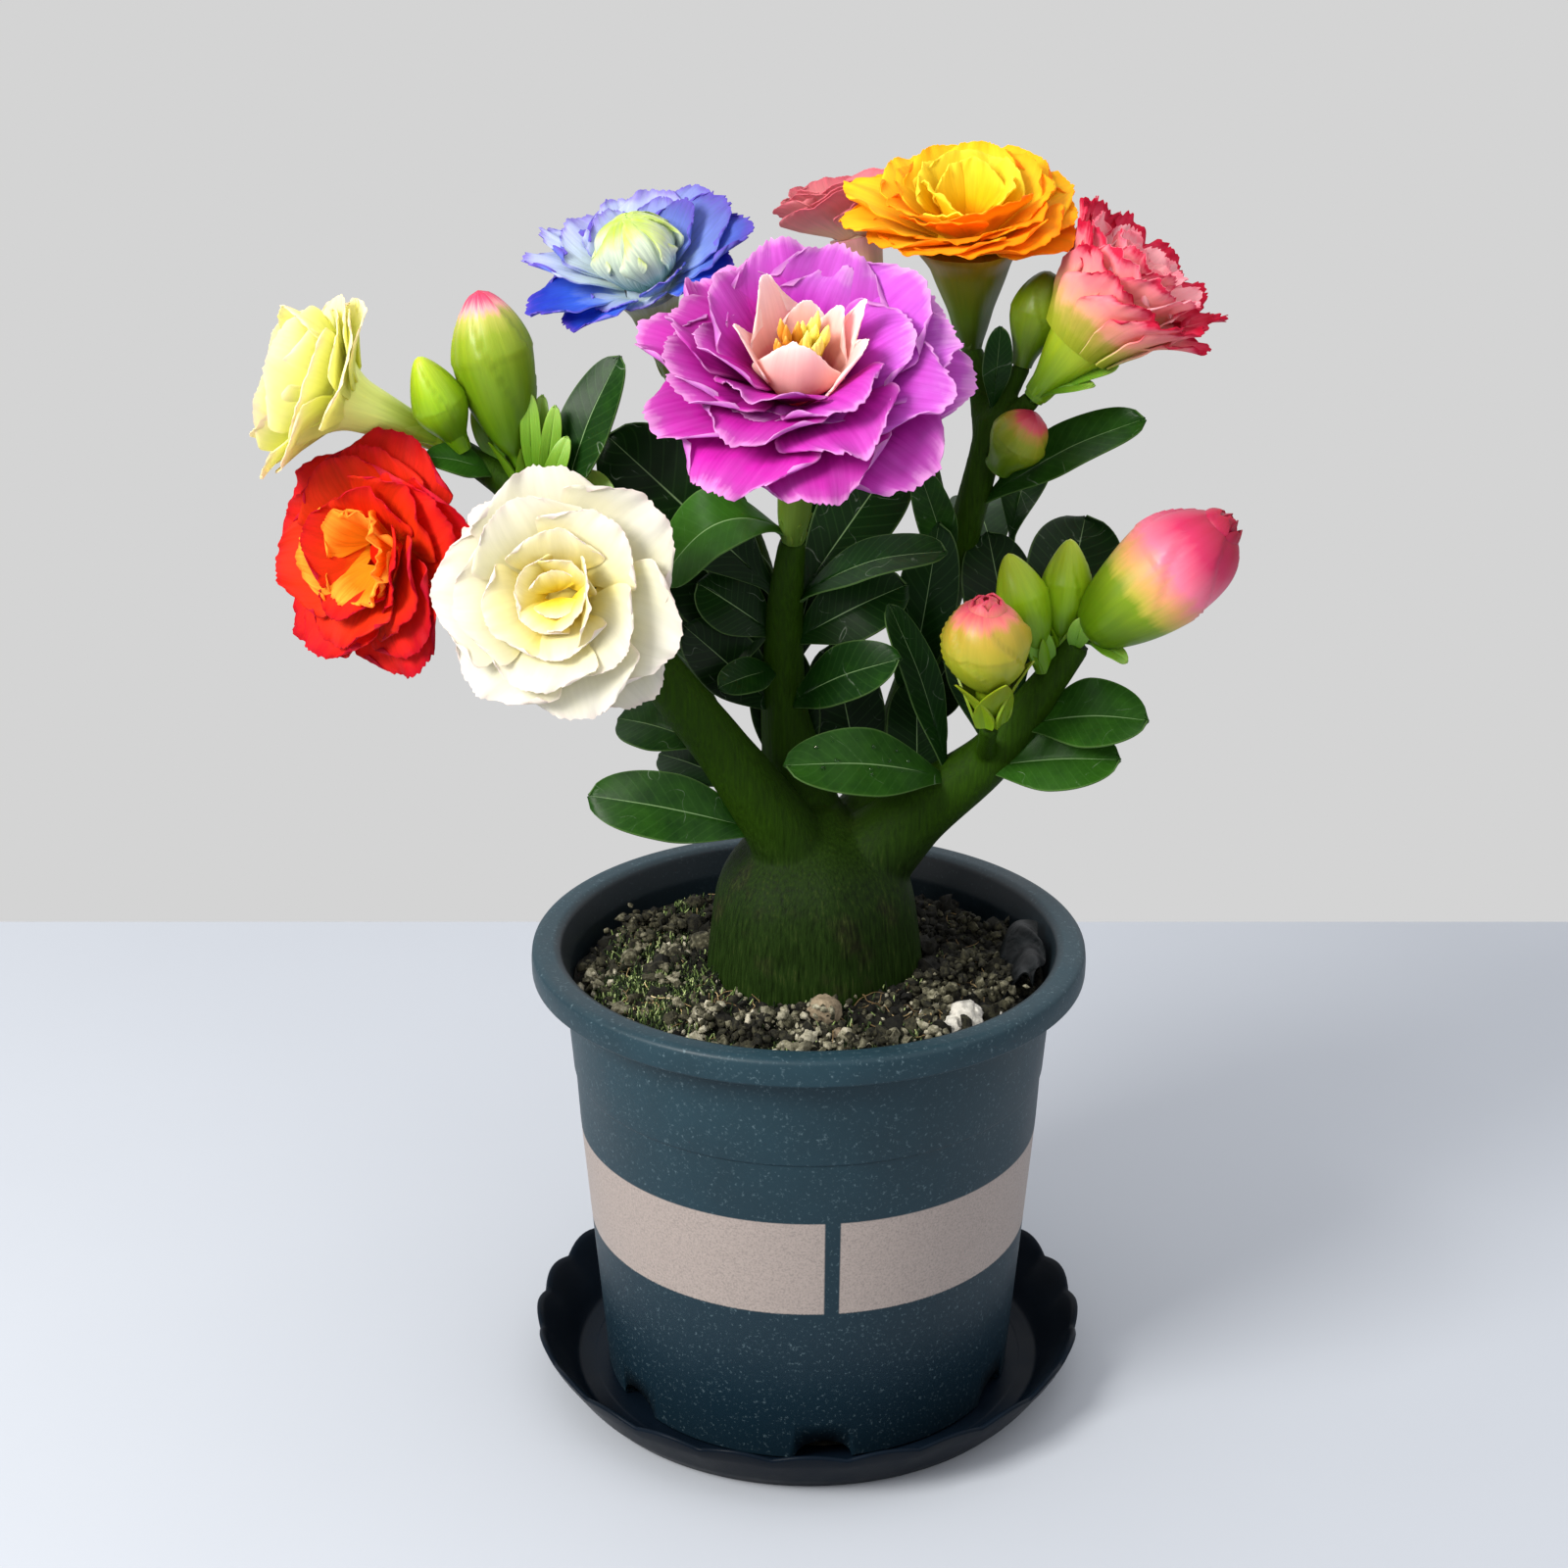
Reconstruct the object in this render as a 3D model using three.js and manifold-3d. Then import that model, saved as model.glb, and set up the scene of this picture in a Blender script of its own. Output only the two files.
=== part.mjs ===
// A desert rose (adenium) in a plastic nursery pot on a scalloped saucer, in millimetres, +Z up.
// The origin is the middle of the saucer's underside, and the plant is seen from the -Y side.
// A swollen green stem stands in a hole in the soil and splits into four limbs, which carry
// leaves, buds and eight double blooms. Every leaf, bud and bloom is cut to sit 0.3 mm off its limb.
import * as THREE from "three";
import { mergeVertices } from "three/addons/utils/BufferGeometryUtils.js";
import Module from "manifold-3d";

const wasm = await Module();
wasm.setup();

// ---- Driving dimensions ----

const GAP = 0.3; // clearance between pieces that rest on or in each other

// scallopRise and scallopOut are how far the scallops wave up and out.
const SAUCER = {
  floor: 2,
  base: 59,
  rim: 69,
  height: 14.6,
  wall: 1.5,
  scallops: 24,
  scallopRise: 1.8,
  scallopOut: 0.8,
};

// rim is the outside of the flange, mouth its inside, and lineAt the height of the mould's parting line.
const POT = {
  height: 116,
  rim: 67.5,
  mouth: 61,
  top: 60,
  bottom: 51,
  wall: 1.8,
  floor: 2,
  flange: 1.8,
  skirt: 6.8,
  skirtWall: 1.6,
  lineAt: 84,
  lineStep: 0.4,
  sides: 40,
};
// The notches round the pot's foot that water drains by.
const DRAIN = { count: 6, halfWidth: 7, height: 5.5, depth: 11, turn: -86 };

const SOIL = { belowRim: 11.5, dome: 6, sides: 26, rings: [0.92, 0.72, 0.52], seed: 31 };
const CLODS = { count: 8, size: 5, nearest: 32, furthest: 51 };
const PEBBLE = { at: [2.5, -34, 113.4], radii: [4.1, 4.2, 4.6] };
const PERLITE = { at: [36, -30, 109.8], radii: [5.4, 3.6, 3.4] };

// The swollen stem, from its buried foot to its crown: height and radius, about the line x = STEM_X.
const STEM_X = 1;
const STEM = [
  [84, 18],
  [97, 24],
  [107, 26.2],
  [113, 26.2],
  [121, 24.2],
  [132, 22.4],
  [141, 21],
  [147, 14],
  [149, 6],
];

// The limbs: the points that each one's middle passes, and its radius there.
const LIMBS = {
  left: {
    points: [
      [4, -1, 124],
      [-7, -8, 150],
      [-20, -14, 172],
      [-33, -18, 191],
      [-49, -14, 212],
      [-66, -8, 232],
      [-83, -5, 244],
    ],
    radii: [13, 8.6, 6.6, 5.8, 4.8, 4, 3],
  },
  middle: {
    points: [
      [2, 4, 128],
      [-3, 6, 158],
      [-6, 5, 176],
      [-6, 1, 198],
      [-5, -4, 212],
      [-4, -6, 221],
    ],
    radii: [13, 8, 5.6, 4.6, 3.8, 3.2],
  },
  right: {
    points: [
      [4, 0, 128],
      [25, -2, 151],
      [43, -6, 168],
      [55, -10, 187],
      [62, -12, 198],
    ],
    radii: [13, 8.4, 6, 4.2, 3.2],
  },
  back: {
    points: [
      [6, 6, 130],
      [19, 13, 155],
      [25, 16, 177],
      [33, 14, 203],
      [40, 11, 233],
      [42, 10, 246],
    ],
    radii: [12, 6.4, 5, 4.2, 3.8, 3.4],
  },
  blue: { points: [[-6, 3, 186], [-13, 16, 212], [-25, 28, 236], [-32, 32, 250]], radii: [3.6, 3, 2.6, 2.6] },
  dusty: { points: [[33, 14, 206], [28, 30, 230], [19, 43, 252], [16, 47, 259]], radii: [3, 2.8, 2.5, 2.4] },
  orange: { points: [[41, 10, 240], [39, 15, 250], [35, 20, 260]], radii: [3.2, 3, 2.8] },
  coral: { points: [[41, 10, 238], [46, 6, 246], [51, 3, 252]], radii: [3.2, 2.6, 2.4] },
  red: { points: [[-60, -10, 225], [-74, -3, 221], [-87, -0.5, 217]], radii: [3.4, 2.6, 2.4] },
  roundBud: { points: [[42, -6, 168], [41, -17, 175], [41, -24, 182]], radii: [2.8, 2.2, 2.4] },
  tallBud: { points: [[41, 10, 242], [46, 9, 252], [49, 8, 259]], radii: [3, 2.3, 2.2] },
};
const THICK_LIMB = 4; // from this radius on a limb is drawn with more sides

// What every petal shares: how far its sides curl in and one side lies under the next petal, the ripple of
// its end, how its corners are rounded, how deep its end is notched, and how narrow its foot is.
const PETAL = {
  thickness: 0.9,
  cup: 0.12,
  tilt: 0.22,
  ripple: 0.035,
  ripples: 4.4,
  rounding: 0.2,
  notch: 0.06,
  foot: 0.12,
  widest: 0.7,
  narrowing: 0.24,
};
const HEART_TILT = 0.4;

// The blunt cone in a bloom that its petals grow from: its height, and how far it stands out past them.
const CORE = { under: 3, top: 4.2, brim: 2.6, crown: 1.6 };
const HEART_CORE = { height: 3, wider: 1 };
const STAMEN = { radius: 2.6, pad: 1.6, belly: 6, top: 8.6, thick: 1, thin: 0.5 };

// The blooms. Each stands on the end of its limb, or at start, and looks along azimuth and elevation, in
// degrees. A whorl is [petals, length, half width, opening at foot, opening at tip, foot radius, lift].
const BLOOMS = {
  purple: {
    limb: "middle", azimuth: -86, elevation: 60, tube: 45, throat: 7.5, seed: 11,
    petal: 0xc24fd0,
    whorls: [[8, 33, 14, 64, 100, 7, 0], [7, 29, 13, 48, 82, 6.6, 2.2], [6, 23, 11, 34, 62, 6.4, 4]],
    heart: 0xf2a0b4,
    heartWhorls: [[5, 17, 5.4, 14, 16, 4, 5]],
    stamens: 6,
  },
  cream: {
    limb: "left", start: [-51.5, -17, 213], azimuth: -99, elevation: 14, tube: 20, throat: 6, seed: 12,
    petal: 0xfbf5de,
    whorls: [[6, 23, 12.5, 60, 98, 5.6, 0], [5, 19, 10.5, 42, 76, 5, 2.2], [3, 12, 6.5, 18, 38, 4, 3.6]],
  },
  red: {
    limb: "red", azimuth: -124, elevation: 12, tube: 15, throat: 5.5, seed: 13,
    petal: 0xd81e1c,
    whorls: [[5, 25, 14, 58, 98, 5.6, 0], [5, 21, 11.5, 40, 72, 5, 2.2]],
    heart: 0xf07a18,
    heartWhorls: [[3, 13, 6, 18, 40, 3, 5]],
  },
  yellow: {
    limb: "left", azimuth: -171, elevation: 26, tube: 24, throat: 7, seed: 14,
    petal: 0xf3ef9a,
    whorls: [[5, 21, 12.5, 50, 98, 5.6, 0], [5, 19, 10, 32, 62, 5, 2.2], [3, 15, 7, 14, 34, 4, 3.6]],
  },
  blue: {
    limb: "blue", azimuth: 232, elevation: 68, tube: 24, throat: 6.5, seed: 15,
    petal: 0x2f4fc4,
    whorls: [[6, 21, 11.5, 54, 88, 5.6, 0], [5, 19, 10.5, 36, 62, 5.4, 2.2]],
    heart: 0xcfe8c4,
    heartWhorls: [[5, 13, 6.4, 34, -6, 4.4, 5]],
  },
  orange: {
    limb: "orange", azimuth: 240, elevation: 76, tube: 27, throat: 8.6, seed: 16,
    petal: 0xf58a12,
    whorls: [[6, 23, 13, 62, 98, 6.4, 0], [5, 19, 12, 44, 76, 6, 2.2]],
    heart: 0xfbe01c,
    heartWhorls: [[5, 16, 6, 20, 40, 4.4, 5]],
  },
  coral: {
    limb: "coral", azimuth: -8, elevation: 50, tube: 20, throat: 8.4, seed: 17,
    petal: 0xd42a46,
    whorls: [[5, 27, 13, 26, 72, 7.6, 0], [5, 24, 11, 14, 54, 6.4, 2.2]],
    heart: 0xf58a94,
    heartWhorls: [[3, 18, 5, 8, 24, 3, 5]],
  },
  dusty: {
    limb: "dusty", azimuth: 150, elevation: 76, tube: 22, throat: 6, seed: 18,
    petal: 0xd07a86,
    whorls: [[5, 17, 11, 58, 94, 5, 0], [4, 13, 8, 36, 64, 4, 2.2]],
  },
};

// The buds: the foot, the azimuth and elevation that it points to, the length, the radius, where it is widest
// and where its calyx ends, as shares of its length.
const BUDS = {
  large_pink: {
    foot: [64, -12.6, 200.5], azimuth: -6, elevation: 42,
    length: 41, radius: 12.2, widest: 0.62, calyx: 0.2, colour: 0xe86a86,
  },
  round_tipped: {
    foot: [41, -24.6, 183.5], azimuth: -106, elevation: 78,
    length: 31, radius: 10, widest: 0.66, calyx: 0.26, colour: 0xc9cf52,
  },
  green_right_a: {
    foot: [54.5, -11.4, 191], azimuth: 172, elevation: 72,
    length: 31, radius: 5.4, widest: 0.62, calyx: 0, colour: 0x7dbb2c,
  },
  green_right_b: {
    foot: [58, -9.5, 193], azimuth: 60, elevation: 82,
    length: 29, radius: 5.3, widest: 0.62, calyx: 0, colour: 0x7dbb2c,
  },
  tipped_left: {
    foot: [-64.5, -8.5, 233], azimuth: 170, elevation: 77,
    length: 47, radius: 9.2, widest: 0.68, calyx: 0.2, colour: 0x9cbf30,
  },
  green_left: {
    foot: [-78.5, -10.5, 243.5], azimuth: 200, elevation: 66,
    length: 22, radius: 5.6, widest: 0.5, calyx: 0, colour: 0x86b52c,
  },
  green_tall: {
    foot: [49, 8, 259.5], azimuth: 180, elevation: 88,
    length: 21, radius: 5.8, widest: 0.56, calyx: 0.2, colour: 0x6f9e26,
  },
  small_tipped: {
    foot: [43.6, 5.6, 235], azimuth: -36, elevation: 54,
    length: 17, radius: 6.8, widest: 0.6, calyx: 0, colour: 0xa5b83c,
  },
};
const LARGE_BUD = 8; // from this radius on a bud is drawn with more rings

// The calyx: its height and reach on a bloom's tube, how far its lip stands out of a bud, and its five lobes.
const CALYX = { height: 6.5, radius: 4.6, lip: 1.3, lobe: 0.26 };

// The leaves: the limb, the share of the way along it, the tip, the width, the azimuth and elevation that the
// upper side looks to, and how far the leaf arches as a share of its length.
const LEAVES = {
  low_left: ["left", 0.17, [-52, -10, 159.5], 16, -95, 34, 0.1],
  front_low: ["right", 0.48, [-5, -26, 173.5], 16, -95, 40, 0.12],
  centre_level: ["middle", 0.5, [19.6, -20, 197], 14, -80, 40, 0.08],
  pale_rib: ["middle", 0.78, [30.2, -16, 221.9], 14, -75, 62, 0.1],
  under_rib: ["middle", 0.68, [22.3, -2, 209], 16, -90, 34, 0.08],
  dark_rounded: ["middle", 0.82, [-46.7, 4, 243], 24, -90, 20, 0.06],
  hanging_light: ["middle", 0.92, [-34, -16, 213], 18, -100, 24, 0.1],
  dark_back: ["middle", 0.62, [-31.4, 12, 217.5], 22, -90, 20, 0.06],
  low_dark: ["middle", 0.48, [-28.9, -2, 198.5], 15, -90, 30, 0.06],
  inner_right: ["back", 0.36, [30, 2, 222], 14, -90, 10, 0.06],
  narrow_cross: ["right", 0.46, [19, -12, 207], 10, -60, 30, 0.04],
  narrow_down: ["middle", 0.62, [-20.7, -14, 188.2], 9, -80, 40, 0.06],
  behind_left: ["left", 0.36, [-45.5, 0, 175.3], 13, -90, 40, 0.08],
  behind_left_low: ["left", 0.27, [-36.2, 6, 164], 11, -90, 40, 0.06],
  right_upper: ["back", 0.8, [75.7, 0, 248.5], 11, -70, 66, 0.06],
  right_round_a: ["right", 0.86, [65.5, 16, 220.5], 22, -90, 24, 0.06],
  right_round_b: ["right", 0.74, [42.1, 12, 217.6], 17, -90, 20, 0.06],
  right_low_a: ["right", 0.7, [77.8, -18, 181.5], 18, -75, 50, 0.1],
  right_low_b: ["right", 0.54, [71.4, -20, 172.5], 14, -80, 52, 0.08],
  upright_left: ["left", 0.78, [-42.6, -8, 264.2], 15, -130, 20, 0.06],
  under_purple: ["middle", 0.77, [22, 18, 236], 18, -90, 20, 0.05],
  upright_behind: ["middle", 0.56, [6, 16, 226], 16, -90, 10, 0.05],
};

const LEAF = { thickness: 1, fold: 0.22 }; // fold is how far the sides rise, as a share of the half width

// Twigs at the back: the points of the twig, then each leaf's azimuth, elevation and length.
const SPRIGS = {
  back_left: {
    points: [[-12, 6, 160], [-24, 20, 172], [-30, 30, 188]],
    leaves: [[130, 10, 34], [185, 28, 32], [85, 52, 34]],
  },
  back_right: {
    points: [[30, 18, 184], [42, 28, 194], [50, 34, 208]],
    leaves: [[20, 5, 34], [100, 20, 34], [60, 55, 32]],
  },
};
const SPRIG = { radii: [2.4, 1.9, 1.5], firstLeaf: 0.55, nextLeaf: 0.2, leafWidth: 0.42, leafArch: 0.1 };

const COLOUR = {
  pot: 0x22434f, saucer: 0x1a2f3b, soil: 0x2b2723, pebble: 0x8f8274, perlite: 0xd9d4cc,
  stem: 0x3a5a1c, leaf: 0x1d4a1c, tube: 0x8c9c3c, stamen: 0xd8b62c,
};

// ---- Small tools ----

const radians = THREE.MathUtils.degToRad;
const vector = (p) => new THREE.Vector3(...p);

function seededRandom(seed) {
  let state = seed * 7919;
  return () => {
    state = (state * 16807) % 2147483647;
    return state / 2147483647;
  };
}

// The unit vector that looks along an azimuth, turned from +X towards +Y, and an elevation, in degrees.
function direction(azimuth, elevation) {
  const flat = Math.cos(radians(elevation));
  return new THREE.Vector3(
    flat * Math.cos(radians(azimuth)),
    flat * Math.sin(radians(azimuth)),
    Math.sin(radians(elevation)),
  );
}

// A closed surface as a manifold-3d solid, turned outside out if its faces point inwards.
function solid(geometry) {
  const bare = geometry.index ? geometry.toNonIndexed() : geometry;
  const positions = new THREE.BufferGeometry().setAttribute("position", bare.getAttribute("position"));
  const merged = mergeVertices(positions, 1e-4);
  const corners = merged.index.array;
  const outward = [];
  const inward = [];
  for (let i = 0; i < corners.length; i += 3) {
    const [a, b, c] = corners.slice(i, i + 3);
    if (a === b || b === c || c === a) continue;
    outward.push(a, b, c);
    inward.push(a, c, b);
  }
  const made = solidOf(merged.attributes.position.array, outward);
  return made.volume() > 0 ? made : solidOf(merged.attributes.position.array, inward);
}

function solidOf(vertProperties, corners) {
  return new wasm.Manifold(new wasm.Mesh({ numProp: 3, vertProperties, triVerts: new Uint32Array(corners) }));
}

function indexedSolid(points, indices) {
  const geometry = new THREE.BufferGeometry().setFromPoints(points);
  geometry.setIndex(indices);
  return solid(geometry);
}

// The largest outer body of a solid: drops loose scraps and fills the hollows that fusing sealed.
function oneBody(made) {
  const bodies = made.decompose();
  return bodies.reduce((best, body) => (body.volume() > best.volume() ? body : best));
}

function fuse(parts) {
  return oneBody(wasm.Manifold.union(parts));
}

function geometryOf(made) {
  const mesh = made.getMesh();
  const positions = new Float32Array(mesh.numVert * 3);
  for (let i = 0; i < mesh.numVert; i++) {
    positions.set(mesh.vertProperties.subarray(i * mesh.numProp, i * mesh.numProp + 3), i * 3);
  }
  const geometry = new THREE.BufferGeometry();
  geometry.setAttribute("position", new THREE.BufferAttribute(positions, 3));
  geometry.setIndex(new THREE.BufferAttribute(new Uint32Array(mesh.triVerts), 1));
  geometry.computeVertexNormals();
  return geometry;
}

const plant = new THREE.Group();

function addNode(name, made, colour, roughness) {
  const look = { color: colour, roughness, metalness: 0, flatShading: true };
  const material = new THREE.MeshStandardMaterial(look);
  const mesh = new THREE.Mesh(geometryOf(made), material);
  mesh.name = name;
  plant.add(mesh);
}

// A solid skinned over rings of points that have as many corners each, with both ends capped.
function ringSolid(rings) {
  const sides = rings[0].length;
  const points = rings.flat();
  const indices = [];
  const corner = (row, j) => row * sides + (j % sides);
  for (let row = 0; row + 1 < rings.length; row++) {
    for (let j = 0; j < sides; j++) {
      const [a, b] = [corner(row, j), corner(row, j + 1)];
      indices.push(a, b, b + sides, a, b + sides, a + sides);
    }
  }
  const addCap = (row, upwards) => {
    const middle = points.length;
    const sum = rings[row].reduce((total, p) => total.add(p), new THREE.Vector3());
    points.push(sum.divideScalar(sides));
    for (let j = 0; j < sides; j++) {
      const [a, b] = [corner(row, j), corner(row, j + 1)];
      indices.push(...(upwards ? [a, b, middle] : [b, a, middle]));
    }
  };
  addCap(0, false);
  addCap(rings.length - 1, true);
  return indexedSolid(points, indices);
}

// A solid of revolution about Z from a profile of [radius, height], with an optional change to each point.
function turned(profile, segments, shape = (p) => p) {
  const points = profile.map(([r, z]) => new THREE.Vector2(r, z));
  const geometry = new THREE.LatheGeometry(points, segments);
  geometry.rotateX(Math.PI / 2);
  const position = geometry.getAttribute("position");
  for (let i = 0; i < position.count; i++) {
    const p = shape(new THREE.Vector3().fromBufferAttribute(position, i));
    position.setXYZ(i, p.x, p.y, p.z);
  }
  return solid(geometry);
}

// A thin blade about a middle surface pointAt(s, t), with s from 0 to 1 along it and t from -1 to 1 across.
// Both faces are split into triangles alike, so that they never cross.
function blade(along, across, thickness, pointAt) {
  const rows = along.map((s) => across.map((t) => pointAt(s, t)));
  const last = { i: along.length - 1, j: across.length - 1 };
  const width = across.length;
  const under = along.length * width;
  const at = (i, j) => i * width + j;
  const face = (side) =>
    rows.flatMap((row, i) =>
      row.map((p, j) => {
        const down = rows[Math.min(i + 1, last.i)][j].clone().sub(rows[Math.max(i - 1, 0)][j]);
        const over = row[Math.min(j + 1, last.j)].clone().sub(row[Math.max(j - 1, 0)]);
        const normal = down.cross(over).normalize();
        return p.clone().addScaledVector(normal, (side * thickness) / 2);
      }),
    );
  const indices = [];
  for (let i = 0; i < last.i; i++) {
    for (let j = 0; j < last.j; j++) {
      const [a, b, c, d] = [at(i, j), at(i, j + 1), at(i + 1, j + 1), at(i + 1, j)];
      indices.push(a, c, b, a, d, c);
      indices.push(a + under, b + under, c + under, a + under, c + under, d + under);
    }
  }
  const edge = [];
  for (let j = 0; j < last.j; j++) edge.push(at(0, j));
  for (let i = 0; i < last.i; i++) edge.push(at(i, last.j));
  for (let j = last.j; j > 0; j--) edge.push(at(last.i, j));
  for (let i = last.i; i > 0; i--) edge.push(at(i, 0));
  edge.forEach((a, k) => {
    const b = edge[(k + 1) % edge.length];
    indices.push(a, b, b + under, a, b + under, a + under);
  });
  return indexedSolid([...face(1), ...face(-1)], indices);
}

function limbCurve(points) {
  return new THREE.CatmullRomCurve3(points.map(vector), false, "catmullrom", 0.5);
}

// A round limb through its points, or the same limb grown all round and at both ends.
function limbSolid({ points, radii }, grow = 0) {
  const curve = limbCurve(points);
  const sides = radii[0] > THICK_LIMB ? 8 : 5;
  const last = points.length - 1;
  const rings = radii.map((radius, k) => {
    const forward = curve.getTangent(k / last);
    const longer = (k === last ? grow : 0) - (k === 0 ? grow : 0);
    const middle = vector(points[k]).addScaledVector(forward, longer);
    return ringAbout(middle, forward, radius + grow, sides);
  });
  return ringSolid(rings);
}

// Two unit vectors across an axis, the first of them as near to +X as can be.
function acrossOf(axis) {
  const side = new THREE.Vector3(1, 0, 0).addScaledVector(axis, -axis.x).normalize();
  return [side, new THREE.Vector3().crossVectors(axis, side)];
}

// A point that stands off an axis: turn is the angle about it, out the distance from it, up the height on it.
function aboutAxis(foot, axis, turn, out, up = 0) {
  const [u, v] = acrossOf(axis);
  return foot
    .clone()
    .addScaledVector(axis, up)
    .addScaledVector(u, out * Math.cos(turn))
    .addScaledVector(v, out * Math.sin(turn));
}

function ringAbout(middle, axis, radius, sides, shape = () => 1) {
  return Array.from({ length: sides }, (_, j) => {
    const turn = (2 * Math.PI * j) / sides;
    return aboutAxis(middle, axis, turn, radius * shape(turn));
  });
}

// A round body on an axis, from stations of [height above the foot, radius, shape of the ring].
function axialSolid(foot, axis, stations, sides) {
  const rings = stations.map(([up, radius, shape]) =>
    ringAbout(foot.clone().addScaledVector(axis, up), axis, radius, sides, shape),
  );
  return ringSolid(rings);
}

// ---- Saucer, pot and soil ----

const potFoot = SAUCER.floor + GAP;
const potTop = potFoot + POT.height;

// The plain taper of the pot's outside, as a radius at a height above the saucer's underside.
function potRadius(z) {
  return POT.bottom + ((POT.top - POT.bottom) * (z - potFoot)) / (POT.height - POT.skirt);
}

function makeSaucer() {
  const { floor, base, rim, height, wall, scallops, scallopRise, scallopOut } = SAUCER;
  const lip = 0.8;
  const profile = [
    [0, 0],
    [base, 0],
    [rim, height - lip / 2],
    [rim - lip, height],
    [rim - lip - wall, height - 3 * lip],
    [base, floor],
    [0, floor],
  ];
  return turned(profile, scallops * 3, (p) => {
    if (p.z < height - 4 * lip) return p;
    const turn = Math.atan2(p.y, p.x);
    const wave = Math.abs(Math.cos((turn * scallops) / 2)) - 0.6;
    const out = 1 + (scallopOut * wave) / rim;
    return new THREE.Vector3(p.x * out, p.y * out, p.z + scallopRise * wave);
  });
}

function drainNotch(turn) {
  const notch = new THREE.CylinderGeometry(1, 1, DRAIN.depth, 6);
  notch.rotateZ(Math.PI / 2);
  notch.scale(1, DRAIN.halfWidth, DRAIN.height);
  notch.rotateZ(turn);
  notch.translate(POT.bottom * Math.cos(turn), POT.bottom * Math.sin(turn), potFoot);
  return solid(notch);
}

function makePot() {
  const { mouth, rim, top, bottom, wall, floor, flange, skirt, skirtWall, lineAt, lineStep } = POT;
  const line = potFoot + lineAt;
  const under = potTop - flange;
  const round = 1.5;
  const profile = [
    [0, potFoot],
    [bottom - round, potFoot],
    [bottom, potFoot + round],
    [potRadius(line) - lineStep, line],
    [potRadius(line), line + lineStep],
    [top, under],
    [rim - skirtWall, under],
    [rim - skirtWall, potTop - skirt],
    [rim, potTop - skirt],
    [rim, potTop - round],
    [rim - round, potTop],
    [mouth, potTop],
    [top - wall, potTop - skirt],
    [bottom - wall, potFoot + floor],
    [0, potFoot + floor],
  ];
  const body = turned(profile, POT.sides);
  const turns = Array.from({ length: DRAIN.count }, (_, i) => radians(DRAIN.turn + (360 * i) / DRAIN.count));
  return body.subtract(wasm.Manifold.union(turns.map(drainNotch)));
}

// The soil's surface: a low dome up to the stem, with soft lumps.
function soilHeight(x, y) {
  const reach = Math.hypot(x, y) / (POT.top - POT.wall);
  const broadLumps = 0.9 * Math.sin(x * 0.21 + 1.3) * Math.cos(y * 0.17);
  const closeLumps = 0.6 * Math.sin(x * 0.37 - y * 0.33);
  return potTop - SOIL.belowRim + SOIL.dome * (1 - reach * reach) + broadLumps + closeLumps;
}

function makeClod(random) {
  const turn = 2 * Math.PI * random();
  const reach = THREE.MathUtils.lerp(CLODS.nearest, CLODS.furthest, random());
  const size = CLODS.size * (0.55 + 0.6 * random());
  const [x, y] = [reach * Math.cos(turn), reach * Math.sin(turn)];
  const clod = new THREE.IcosahedronGeometry(size, 0);
  clod.rotateX(Math.PI * random());
  clod.scale(1, 1.2, 0.75);
  clod.rotateZ(2 * Math.PI * random());
  clod.translate(x, y, soilHeight(x, y) - 0.2 * size);
  return solid(clod);
}

// The soil fills the pot up to belowRim, and has a hole for the stem and a dent for each loose lump.
function makeSoil() {
  const floor = potFoot + POT.floor + GAP;
  const edge = potTop - SOIL.belowRim;
  const clearance = POT.wall + GAP + 0.1;
  const wallAt = (z) => potRadius(z) - clearance;
  const profile = [
    [0, floor],
    [wallAt(floor) - 0.5, floor],
    [wallAt(edge), edge],
    ...SOIL.rings.map((share) => [share * wallAt(edge), edge]),
    [0, edge],
  ];
  const body = turned(profile, SOIL.sides, (p) => {
    const onTop = p.z > edge - 1 && Math.hypot(p.x, p.y) < wallAt(edge) - 1;
    return onTop ? new THREE.Vector3(p.x, p.y, soilHeight(p.x, p.y)) : p;
  });
  const random = seededRandom(SOIL.seed);
  const clods = Array.from({ length: CLODS.count }, () => makeClod(random));
  const filled = fuse([body, ...clods]);
  const holes = [stemSolid(GAP), makeLump(PEBBLE, GAP), makeLump(PERLITE, GAP)];
  return oneBody(filled.subtract(wasm.Manifold.union(holes)));
}

// A rounded lump, or the dent that it lies in when grow is above 0.
function makeLump({ at, radii }, grow = 0) {
  const lump = new THREE.IcosahedronGeometry(1, 1);
  lump.scale(...radii.map((r) => r + grow));
  lump.translate(...at);
  return solid(lump);
}

// ---- The stem and its limbs ----

function stemSolid(grow = 0) {
  const up = new THREE.Vector3(0, 0, 1);
  const lobed = (turn) => 1 + 0.03 * Math.cos(3 * turn) + 0.02 * Math.cos(7 * turn);
  const last = STEM.length - 1;
  const stations = STEM.map(([z, radius], i) => {
    const longer = (i === last ? grow : 0) - (i === 0 ? grow : 0);
    return [z + longer, radius + grow, lobed];
  });
  return axialSolid(new THREE.Vector3(STEM_X, 0, 0), up, stations, 14);
}

function makeStem(grow = 0) {
  return fuse([stemSolid(grow), ...Object.values(LIMBS).map((limb) => limbSolid(limb, grow))]);
}

// ---- Leaves ----

// How wide a leaf is at each share of its length: a short stalk, widest past the middle, a round tip.
const LEAF_STATIONS = [
  [0, 0.14],
  [0.18, 0.3],
  [0.5, 1],
  [0.8, 0.86],
  [1, 0.16],
];

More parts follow.
